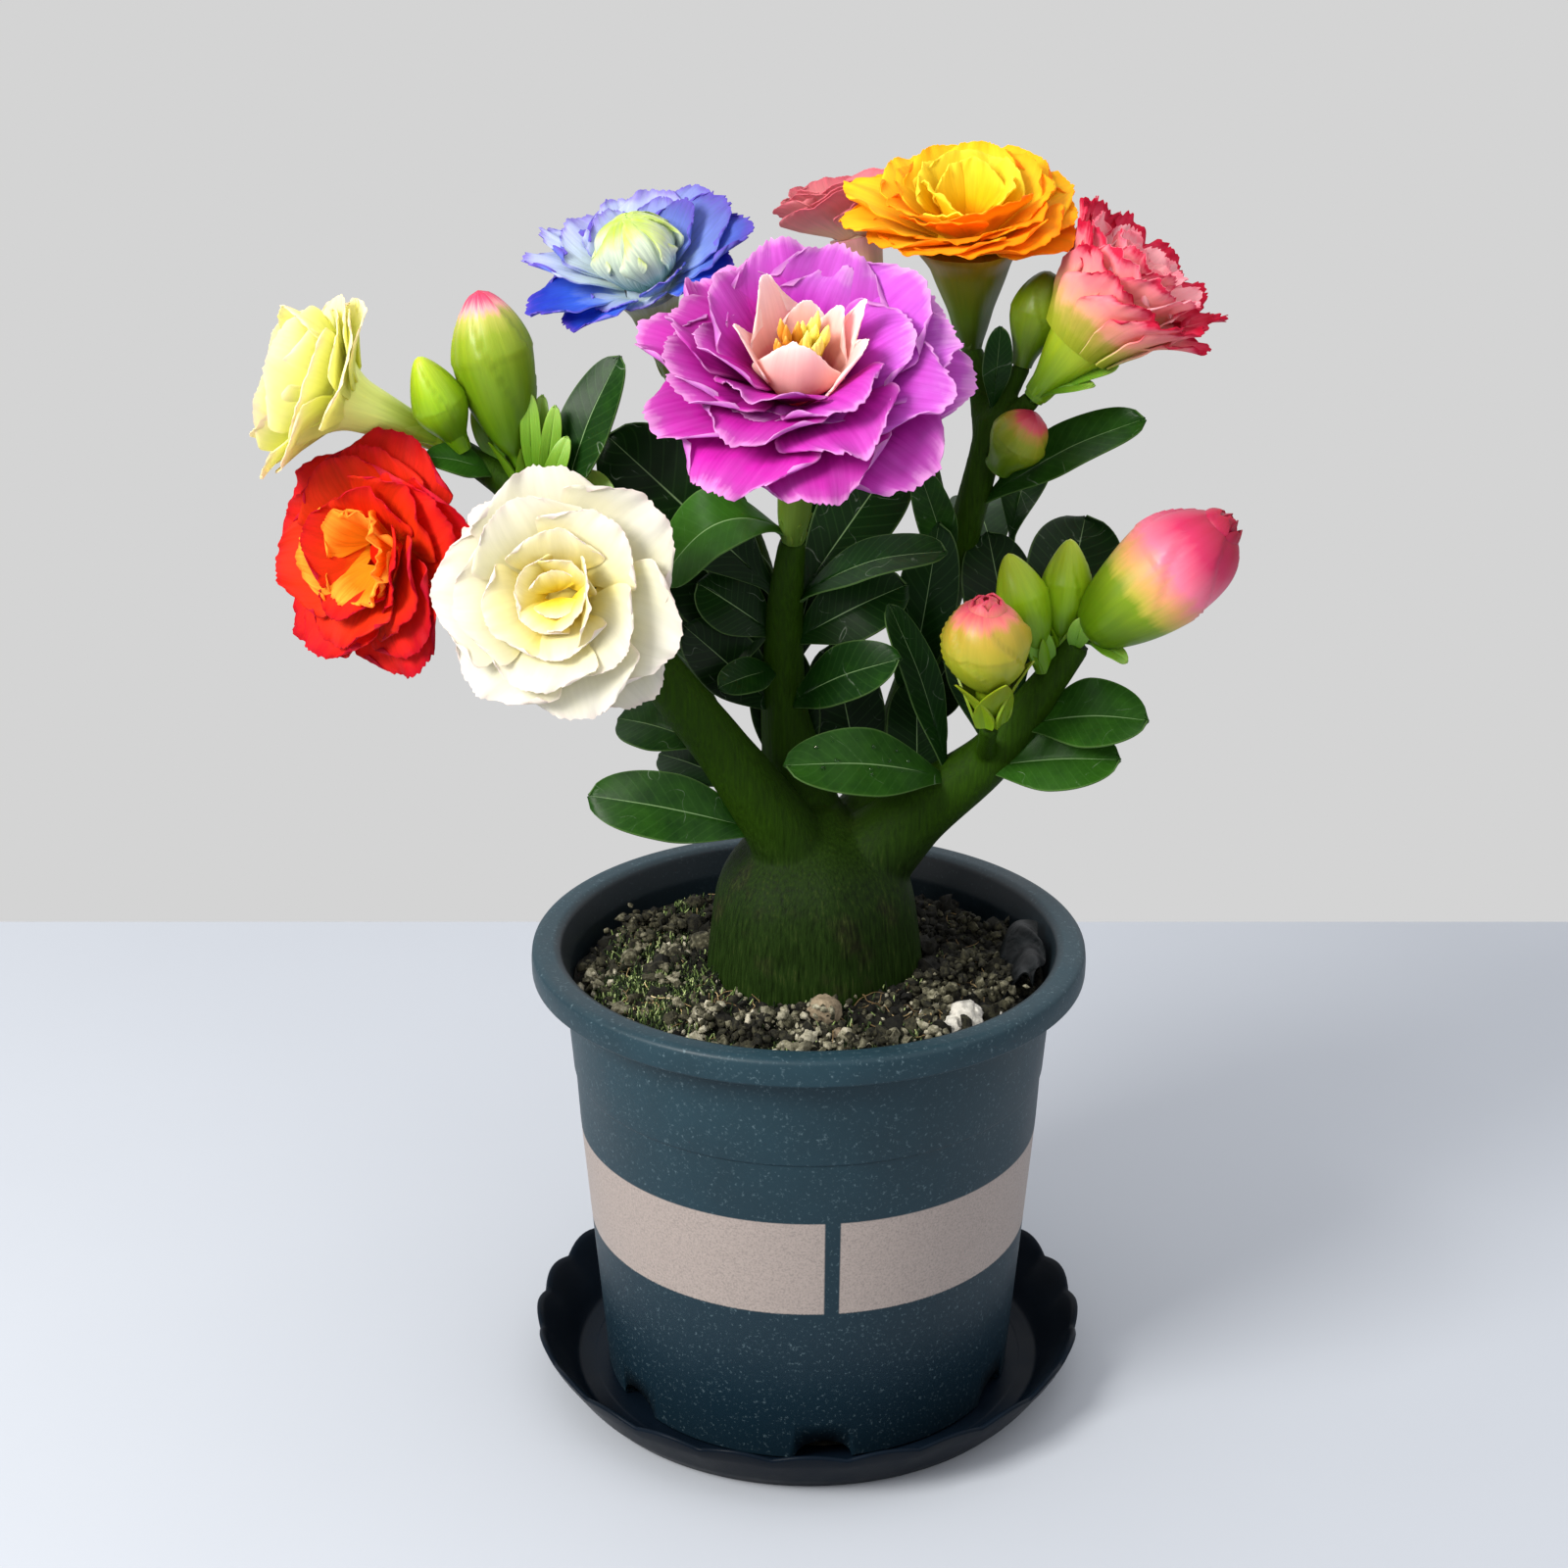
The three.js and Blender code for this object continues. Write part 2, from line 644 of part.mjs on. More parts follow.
function leafSolid(start, tip, width, faceAzimuth, faceElevation, arch) {
  const forward = tip.clone().sub(start);
  const length = forward.length();
  forward.normalize();
  const face = direction(faceAzimuth, faceElevation);
  const up = face.addScaledVector(forward, -face.dot(forward)).normalize();
  const side = new THREE.Vector3().crossVectors(forward, up);
  const widthAt = new Map(LEAF_STATIONS);
  return blade([...widthAt.keys()], [-1, 0, 1], LEAF.thickness, (s, t) => {
    const half = (width / 2) * widthAt.get(s);
    const rise = arch * length * 4 * s * (1 - s) + LEAF.fold * half * Math.abs(t);
    return start
      .clone()
      .addScaledVector(forward, length * s)
      .addScaledVector(up, rise)
      .addScaledVector(side, half * t);
  });
}

function makeLeaf([limb, share, tip, ...shape]) {
  return leafSolid(limbCurve(LIMBS[limb].points).getPointAt(share), vector(tip), ...shape);
}

function makeSprig({ points, leaves }) {
  const { radii, firstLeaf, nextLeaf, leafWidth, leafArch } = SPRIG;
  const curve = limbCurve(points);
  const blades = leaves.map(([azimuth, elevation, length], i) => {
    const start = curve.getPointAt(firstLeaf + nextLeaf * i);
    const tip = start.clone().addScaledVector(direction(azimuth, elevation), length);
    return leafSolid(start, tip, leafWidth * length, azimuth + 180, 60, leafArch);
  });
  return fuse([limbSolid({ points, radii }), ...blades]);
}

// ---- Blooms ----

// One petal's middle surface in its bloom's frame: out is away from the axis and up is along it.
function petalPoint(petal, s, t) {
  const { open, bend, length, halfWidth, foot, lift, ripple, phase, tilt } = petal;
  const along = s * (1 - PETAL.rounding * t * t * s);
  const angle = open + bend * along;
  const out = foot + (length * (Math.cos(open) - Math.cos(angle))) / bend;
  const up = lift + (length * (Math.sin(angle) - Math.sin(open))) / bend;
  const half = halfWidth * petalOutline(s);
  const wave = ripple * s * s * Math.sin(PETAL.ripples * t + phase);
  const inward = PETAL.cup * half * t * t + tilt * half * t + wave;
  return { out: out - inward * Math.cos(angle), up: up + inward * Math.sin(angle), over: half * t };
}

// A petal's half width along its length, as a share of its widest.
function petalOutline(s) {
  const { foot, widest, narrowing } = PETAL;
  if (s < widest) return foot + (1 - foot) * Math.sin((Math.PI / 2) * (s / widest));
  return 1 - narrowing * ((s - widest) / (1 - widest)) ** 2;
}

// The petals of one whorl, each a little unlike the next, and set between those of the whorl below.
function whorlPetals([count, length, halfWidth, open, openTip, foot, lift], order, random) {
  return Array.from({ length: count }, (_, i) => ({
    azimuth: (2 * Math.PI * (i + 0.5 * order)) / count + 0.2 * (random() - 0.5),
    open: radians(open),
    bend: radians(openTip - open + 6 * (random() - 0.5)),
    length: length * (0.93 + 0.14 * random()),
    phase: 2 * Math.PI * random(),
    halfWidth,
    foot,
    lift,
    ripple: PETAL.ripple * length,
    tilt: PETAL.tilt,
  }));
}

function bloomFrame(bloom) {
  const axis = direction(bloom.azimuth, bloom.elevation);
  const start = vector(bloom.start ?? LIMBS[bloom.limb].points.at(-1));
  return { axis, throat: start.addScaledVector(axis, bloom.tube) };
}

// A petal's blade, in the part's frame, with its end notched between its ribs.
function petalSolid(petal, { axis, throat }, across) {
  const sideways = aboutAxis(new THREE.Vector3(), axis, petal.azimuth + Math.PI / 2, 1);
  const ribs = Array.from({ length: across + 1 }, (_, j) => (2 * j) / across - 1);
  return blade([0, 0.5, 1], ribs, PETAL.thickness, (s, t) => {
    const notched = s === 1 && ribs.indexOf(t) % 2 === 1;
    const { out, up, over } = petalPoint(petal, notched ? 1 - PETAL.notch : s, t);
    return aboutAxis(throat, axis, petal.azimuth, out, up).addScaledVector(sideways, over);
  });
}

function makePetals(bloom, frame, random) {
  const [outerCount, , , , , foot] = bloom.whorls[0];
  const outerAcross = outerCount > 6 ? 4 : 3;
  const stations = [
    [-CORE.under, bloom.throat],
    [0, foot + CORE.brim],
    [CORE.top, foot + CORE.crown],
  ];
  const core = axialSolid(frame.throat, frame.axis, stations, 10);
  const blades = bloom.whorls.flatMap((whorl, order) => {
    const across = Math.max(2, outerAcross - order);
    return whorlPetals(whorl, order, random).map((petal) => petalSolid(petal, frame, across));
  });
  return fuse([core, ...blades]);
}

// The inner petals, which are upright and of another colour.
function makeHeart(bloom, frame, random) {
  const petals = bloom.heartWhorls.flatMap((whorl, order) => whorlPetals(whorl, order, random));
  const radius = bloom.heartWhorls[0][5] + HEART_CORE.wider;
  const stations = [
    [CORE.top + GAP, radius],
    [CORE.top + HEART_CORE.height, radius],
  ];
  const core = axialSolid(frame.throat, frame.axis, stations, 7);
  const blades = petals.map((petal) => petalSolid({ ...petal, ripple: 0, tilt: HEART_TILT }, frame, 2));
  return fuse([core, ...blades]);
}

// A tuft of stamens: a short pad with slim clubs that lean outwards, spread like seeds in a head.
function makeStamens(bloom, { axis, throat }) {
  const { radius, pad, belly, top, thick, thin } = STAMEN;
  const foot = throat.clone().addScaledVector(axis, CORE.top + HEART_CORE.height + GAP);
  const clubs = Array.from({ length: bloom.stamens }, (_, i) => {
    const turn = radians(137.5 * i);
    const reach = 0.32 * radius * Math.sqrt(i);
    const lean = 1.15 * reach + 0.6;
    const rings = [
      ringAbout(aboutAxis(foot, axis, turn, reach, pad / 2), axis, thin, 3),
      ringAbout(aboutAxis(foot, axis, turn, lean, belly), axis, thick, 3),
      ringAbout(aboutAxis(foot, axis, turn, lean, top), axis, thin, 3),
    ];
    return ringSolid(rings);
  });
  return fuse([axialSolid(foot, axis, [[0, radius], [pad, radius]], 8), ...clubs]);
}

// The five lobes of a calyx, as a share to reach out by, for a ring of ten corners.
const calyxLobes = (turn) => 1 + CALYX.lobe * Math.cos(5 * turn);

// A bloom's tube: a slim foot with a lobed calyx round it, which widens like a trumpet up to the petals.
function makeTube(bloom, { axis, throat }) {
  const mouth = bloom.throat;
  const stations = [
    [-bloom.tube, 2.6],
    [CALYX.height - bloom.tube, CALYX.radius, calyxLobes],
    [CALYX.height + GAP - bloom.tube, 0.2 * mouth + 1.9],
    [-0.35 * bloom.tube, 0.7 * mouth + 0.6],
    [-CORE.under - GAP, mouth],
  ];
  return axialSolid(throat, axis, stations, 10);
}

// ---- Buds ----

// A bud's radius, as a share of its widest, along its length: a slim foot, a round belly, a blunt point.
function budProfile(share, widest) {
  if (share < widest) return 0.24 + 0.76 * Math.sin((Math.PI / 2) * (share / widest)) ** 1.8;
  const past = (share - widest) / (1 - widest);
  return Math.sqrt(Math.max(0, 1 - past ** 2.2)) * (1 - 0.12 * past) + 0.05;
}

// A bud, with a lobed calyx part of the way up it where calyx isn't 0.
function makeBud({ foot, azimuth, elevation, length, radius, widest, calyx }) {
  const lower = (radius > LARGE_BUD ? [0, 0.45, 0.72, 1] : [0, 0.6, 1]).map((share) => share * widest);
  const upper = [0.4, 0.78, 1].map((share) => widest + share * (1 - widest));
  const furled = (turn) => 1 + 0.05 * Math.cos(5 * turn);
  const plainStation = (share) => [length * share, radius * budProfile(share, widest)];
  const stations = [
    ...lower.map(plainStation),
    ...upper.slice(0, -1).map((share) => [...plainStation(share), furled]),
    plainStation(1),
  ];
  if (calyx) {
    const [height, plain] = plainStation(calyx);
    const next = stations.findIndex(([up]) => up > height);
    stations.splice(next, 0, [height, plain + CALYX.lip, calyxLobes], [height + 2 * GAP, plain]);
  }
  return axialSolid(vector(foot), direction(azimuth, elevation), stations, 10);
}

// ---- Assembly ----

const seat = makeStem(GAP); // the stem grown by the clearance, which every piece on it is cut with

function seated(made) {
  return oneBody(made.subtract(seat));
}

addNode("saucer", makeSaucer(), COLOUR.saucer, 0.35);
addNode("pot", makePot(), COLOUR.pot, 0.5);
addNode("soil", makeSoil(), COLOUR.soil, 0.95);
addNode("clay_pebble", makeLump(PEBBLE), COLOUR.pebble, 0.9);
addNode("perlite_lump", makeLump(PERLITE), COLOUR.perlite, 0.9);
addNode("stem", makeStem(), COLOUR.stem, 0.6);

for (const [name, leaf] of Object.entries(LEAVES)) {
  addNode("leaf_" + name, seated(makeLeaf(leaf)), COLOUR.leaf, 0.35);
}
for (const [name, sprig] of Object.entries(SPRIGS)) {
  addNode("sprig_" + name, seated(makeSprig(sprig)), COLOUR.leaf, 0.35);
}
for (const [name, bud] of Object.entries(BUDS)) {
  addNode("bud_" + name, seated(makeBud(bud)), bud.colour, 0.45);
}
for (const [name, bloom] of Object.entries(BLOOMS)) {
  const frame = bloomFrame(bloom);
  const random = seededRandom(bloom.seed);
  addNode("tube_" + name, seated(makeTube(bloom, frame)), COLOUR.tube, 0.5);
  addNode("petals_" + name, makePetals(bloom, frame, random), bloom.petal, 0.6);
  if (bloom.heart) addNode("heart_" + name, makeHeart(bloom, frame, random), bloom.heart, 0.6);
  if (bloom.stamens) addNode("stamens_" + name, makeStamens(bloom, frame), COLOUR.stamen, 0.7);
}

export default plant;
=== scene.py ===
"""Every operator builds one piece or a group of like pieces. Plant and pot sizes are in millimetres, in the
part's own frame (+Z up, the saucer's underside at 0, the front of the pot towards -Y), and MM turns them to
metres where a mesh is made. The limbs, leaves, buds and petals lie where the part's own solids lie.
"""

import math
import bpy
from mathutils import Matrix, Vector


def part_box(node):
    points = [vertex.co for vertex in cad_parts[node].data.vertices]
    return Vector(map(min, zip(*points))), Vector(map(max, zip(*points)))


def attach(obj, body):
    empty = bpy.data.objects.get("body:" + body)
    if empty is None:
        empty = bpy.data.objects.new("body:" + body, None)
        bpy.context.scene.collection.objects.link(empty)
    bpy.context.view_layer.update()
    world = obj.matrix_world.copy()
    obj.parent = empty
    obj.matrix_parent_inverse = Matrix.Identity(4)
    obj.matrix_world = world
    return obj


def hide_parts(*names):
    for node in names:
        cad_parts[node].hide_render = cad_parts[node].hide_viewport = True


bl_info = {
    "name": "Potted desert rose", "version": (1, 0, 0), "blender": (4, 5, 0),
    "location": "3D View > Sidebar > Desert Rose",
    "description": "Builds a desert rose with its pot, saucer, soil and a plain stage", "category": "Add Mesh",
}

from functools import partial

import bmesh
import bpy
import numpy as np
from bpy.props import FloatProperty, FloatVectorProperty, IntProperty, PointerProperty

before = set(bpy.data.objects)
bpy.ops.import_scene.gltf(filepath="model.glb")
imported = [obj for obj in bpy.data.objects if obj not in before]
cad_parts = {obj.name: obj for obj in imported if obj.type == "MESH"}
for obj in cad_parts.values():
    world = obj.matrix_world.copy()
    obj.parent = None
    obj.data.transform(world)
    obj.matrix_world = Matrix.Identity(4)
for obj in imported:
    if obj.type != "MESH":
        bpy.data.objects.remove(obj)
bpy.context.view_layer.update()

MM = 0.001
BODY = "root"

# ---- Camera ----

IMAGE_PIXELS = 1600
FOCAL_PIXELS = 3038
SENSOR_MM = 36.0
CAMERA_PLACE = (-6.0, -663.0, 420.0)
CAMERA_PITCH = 21.54  # degrees below the horizon

# ---- The pot, saucer and soil: the pot's size is what its solid says ----

POT_LOW, POT_HIGH = (np.array(corner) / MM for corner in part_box("pot"))
POT_RIM = POT_HIGH[0]
POT_FOOT_Z = POT_LOW[2]
POT_TOP_Z = POT_HIGH[2]
POT_BOTTOM_RADIUS = 51.0
POT_TOP_RADIUS = 60.0  # of the plain taper, under the rim
POT_SKIRT = 6.8
POT_MOUTH = 61.0
POT_WALL = 1.8
POT_HEIGHT = 116  # the height that the taper is measured on
MOULD_LINE_Z = POT_FOOT_Z + 84
BAND_GAP = 3.3  # the bare stripe in the printed band
BAND_GAP_TURN = 5.5  # of its middle from the front, in degrees
BAND_RADIUS = 55  # of the wall behind the band
DRAIN = {"count": 6, "half_width": 7, "height": 5.5, "depth": 11, "turn": -86}
SAUCER_BASE = 59.0
SAUCER_FLOOR = 2.0
SCALLOPS = 24
SOIL_BELOW_RIM = 11.5
SOIL_DOME = 6.0
SOIL_RADIUS = 57.6

# ---- The plant ----

# What each group's random draws start from. The blooms' numbers run on from theirs, one for each bloom.
SEEDS = {"stem": 5, "leaves": 8, "blooms": 11, "drops": 17, "buds": 21, "soil": 31}

# The stem: [height, radius], and how far to the right its middle stands.
STEM = [
    [84, 18], [97, 24], [107, 26.2], [113, 26.2], [121, 25.2], [130, 24.2], [136, 22.8], [141, 19.8], [146, 14.8],
    [150, 9], [153, 4],
]
STEM_X = 1.0

# The limbs: the points that each one's middle passes, and its radius there.
LIMBS = {
    "left": {
        "points": [
            [4, -1, 124], [-7, -8, 150], [-20, -14, 172], [-33, -18, 191], [-49, -14, 212], [-66, -8, 232],
            [-83, -5, 244],
        ],
        "radii": [13, 8.6, 6.6, 5.8, 4.8, 4, 3],
    },
    "middle": {
        "points": [[2, 4, 128], [-3, 6, 158], [-6, 5, 176], [-6, 1, 198], [-5, -4, 212], [-4, -6, 221]],
        "radii": [13, 8, 5.6, 4.6, 3.8, 3.2],
    },
    "right": {
        "points": [[4, 0, 128], [25, -2, 151], [43, -6, 168], [55, -10, 187], [62, -12, 198]],
        "radii": [13, 8.4, 6, 4.2, 3.2],
    },
    "back": {
        "points": [[6, 6, 130], [19, 13, 155], [25, 16, 177], [33, 14, 203], [40, 11, 233], [42, 10, 246]],
        "radii": [12, 6.4, 5, 4.2, 3.8, 3.4],
    },
    "blue": {"points": [[-6, 3, 186], [-13, 16, 212], [-25, 28, 236], [-32, 32, 250]], "radii": [3.6, 3, 2.6, 2.6]},
    "dusty": {"points": [[33, 14, 206], [28, 30, 230], [19, 43, 252], [16, 47, 259]], "radii": [3, 2.8, 2.5, 2.4]},
    "orange": {"points": [[41, 10, 240], [40, 15, 250], [37.5, 19, 260]], "radii": [3.2, 3, 2.8]},
    "coral": {"points": [[41, 10, 238], [46, 6, 246], [51, 3, 252]], "radii": [3.2, 2.6, 2.4]},
    "red": {"points": [[-60, -10, 225], [-74, -3, 221], [-87, -0.5, 217]], "radii": [3.4, 2.6, 2.4]},
    "round_bud": {"points": [[42, -6, 168], [41, -17, 175], [41, -24, 182]], "radii": [2.8, 2.2, 2.4]},
    "tall_bud": {"points": [[41, 10, 242], [46, 9, 252], [49, 8, 259]], "radii": [3, 2.3, 2.2]},
}

# The leaves: the limb, the share of the way along it, the tip, the width, the azimuth and elevation that the
# upper side looks to, how far the leaf arches as a share of its length, and its painted light, from shaded to lit.
LEAVES = {
    "low_left": ["left", 0.17, [-52, -10, 159.5], 16, -95, 34, 0.1, 0.38],
    "front_low": ["right", 0.48, [-5, -26, 173.5], 16, -95, 40, 0.12, 0.4],
    "centre_level": ["middle", 0.5, [19.6, -20, 197], 14, -80, 40, 0.08, 0.3],
    "pale_rib": ["middle", 0.78, [30.2, -16, 221.9], 14, -75, 62, 0.1, 0.3],
    "under_rib": ["middle", 0.68, [22.3, -2, 209], 16, -90, 34, 0.08, 0.2],
    "dark_rounded": ["middle", 0.82, [-46.7, 4, 243], 24, -90, 20, 0.06, 0.1],
    "hanging_light": ["middle", 1.0, [-33.5, -14, 214.5], 19, -112, 50, 0.42, 0.52],
    "dark_back": ["middle", 0.62, [-31.4, 12, 217.5], 22, -90, 20, 0.06, 0.0],
    "low_dark": ["middle", 0.48, [-28.9, -2, 198.5], 15, -90, 30, 0.06, 0.05],
    "inner_right": ["back", 0.36, [30, 2, 222], 14, -90, 10, 0.06, 0.25],
    "narrow_cross": ["right", 0.46, [19, -12, 207], 10, -60, 30, 0.04, 0.2],
    "narrow_down": ["middle", 0.62, [-20.7, -14, 188.2], 9, -80, 40, 0.06, 0.3],
    "behind_left": ["left", 0.36, [-45.5, 0, 175.3], 13, -90, 40, 0.08, 0.35],
    "behind_left_low": ["left", 0.27, [-36.2, 6, 164], 11, -90, 40, 0.06, 0.2],
    "right_upper": ["back", 0.8, [75.7, 0, 248.5], 14, -75, 56, 0.06, 0.4],
    "right_round_a": ["right", 0.86, [65.5, 16, 220.5], 22, -90, 24, 0.06, 0.1],
    "right_round_b": ["right", 0.74, [42.1, 12, 217.6], 17, -90, 20, 0.06, 0.05],
    "right_low_a": ["right", 0.7, [77.8, -18, 181.5], 18, -75, 50, 0.1, 0.42],
    "right_low_b": ["right", 0.54, [71.4, -20, 172.5], 16, -80, 40, 0.08, 0.45],
    "upright_left": ["left", 0.78, [-43.4, -8, 264.4], 13.5, -120, 30, 0.06, 0.3],
    "under_purple": ["middle", 0.77, [22, 18, 236], 18, -90, 20, 0.05, 0.1],
    "upright_behind": ["middle", 0.56, [6, 16, 226], 16, -90, 10, 0.05, 0.1],
}

# Young leaves among them, with the same numbers.
SMALL_LEAVES = [
    ["back", 0.4, [23.3, -4, 197.9], 8.5, -90, 40, 0.1, 0.3], ["back", 0.66, [25.2, 2, 235.2], 9, -90, 30, 0.1, 0.35],
    ["middle", 0.7, [-26, 2, 208], 14, -90, 30, 0.08, 0.15], ["right", 0.6, [36, 10, 196], 12, -90, 30, 0.06, 0.1],
    ["middle", 0.62, [-29.1, 10, 213.9], 25, -90, 20, 0.05, 0.05],
    ["middle", 0.2, [-8.4, 14, 191], 16, -90, 5, 0.05, 0.1], ["back", 0.15, [5.8, 16, 188], 18, -90, 5, 0.05, 0.08],
    ["right", 0.35, [25.5, 4, 183.5], 14, -90, 10, 0.05, 0.1],
    ["middle", 0.75, [-25, 6, 193], 15, -90, 20, 0.05, 0.1], ["back", 0.3, [36, 14, 188], 14, -90, 20, 0.05, 0.1],
    ["left", 0.9, [-86, -16, 243.6], 8.5, -90, 50, 0.08, 0.45],
    ["back", 1.0, [43.2, 4, 268], 6.5, -90, 10, 0.06, 0.3],
]

# The bracts at the feet of buds and blooms: foot, tip, width, and the azimuth and elevation that it faces.
BRACTS = [
    [[-62.5, -9.5, 231], [-63, -12, 256.8], 4.4, -90, 20], [[-62, -9, 231], [-60.5, -8, 255.4], 4.6, -100, 20],
    [[-61.5, -10, 230], [-57.2, -12, 253.9], 4.4, -80, 20], [[-61, -10.5, 229], [-54.6, -14, 247.3], 4.6, -90, 30],
    [[-69, -6.5, 235], [-75.5, -2, 252.4], 6.5, -90, 10], [[-49, -12, 213], [-50.5, -9, 238.5], 13, -90, 20],
    [[50.5, 2, 251.5], [64, -4, 257], 5.4, -60, 60], [[51.5, 3, 252], [69.3, -2, 261.1], 5, -70, 50],
    [[62.5, -13, 199], [73, -16, 195], 5, -80, 60], [[56, -10.5, 188.5], [51.6, -12.5, 202], 6, -90, 20],
    [[60.5, -12, 195], [62.5, -15, 205], 5, -90, 20],
]

# Twigs at the back: the points of the twig, then each leaf's azimuth, elevation and length.
SPRIGS = {
    "back_left": {
        "points": [[-12, 6, 160], [-24, 20, 172], [-30, 30, 188]],
        "leaves": [[130, 10, 34], [185, 28, 32], [85, 52, 34]],
    },
    "back_right": {
        "points": [[30, 18, 184], [42, 28, 194], [50, 34, 208]], "leaves": [[20, 5, 34], [100, 20, 34], [60, 55, 32]],
    },
}
SPRIG_RADII = [2.4, 1.9, 1.5]
WET_LEAF = "front_low"
LEAF_ROWS = 44
LEAF_COLUMNS = 25
LEAF_VEINS = 16  # side veins along a leaf, about 2.4 mm apart
VEIN_LEAN = 0.16  # how far they lean to the tip, as a share of the leaf

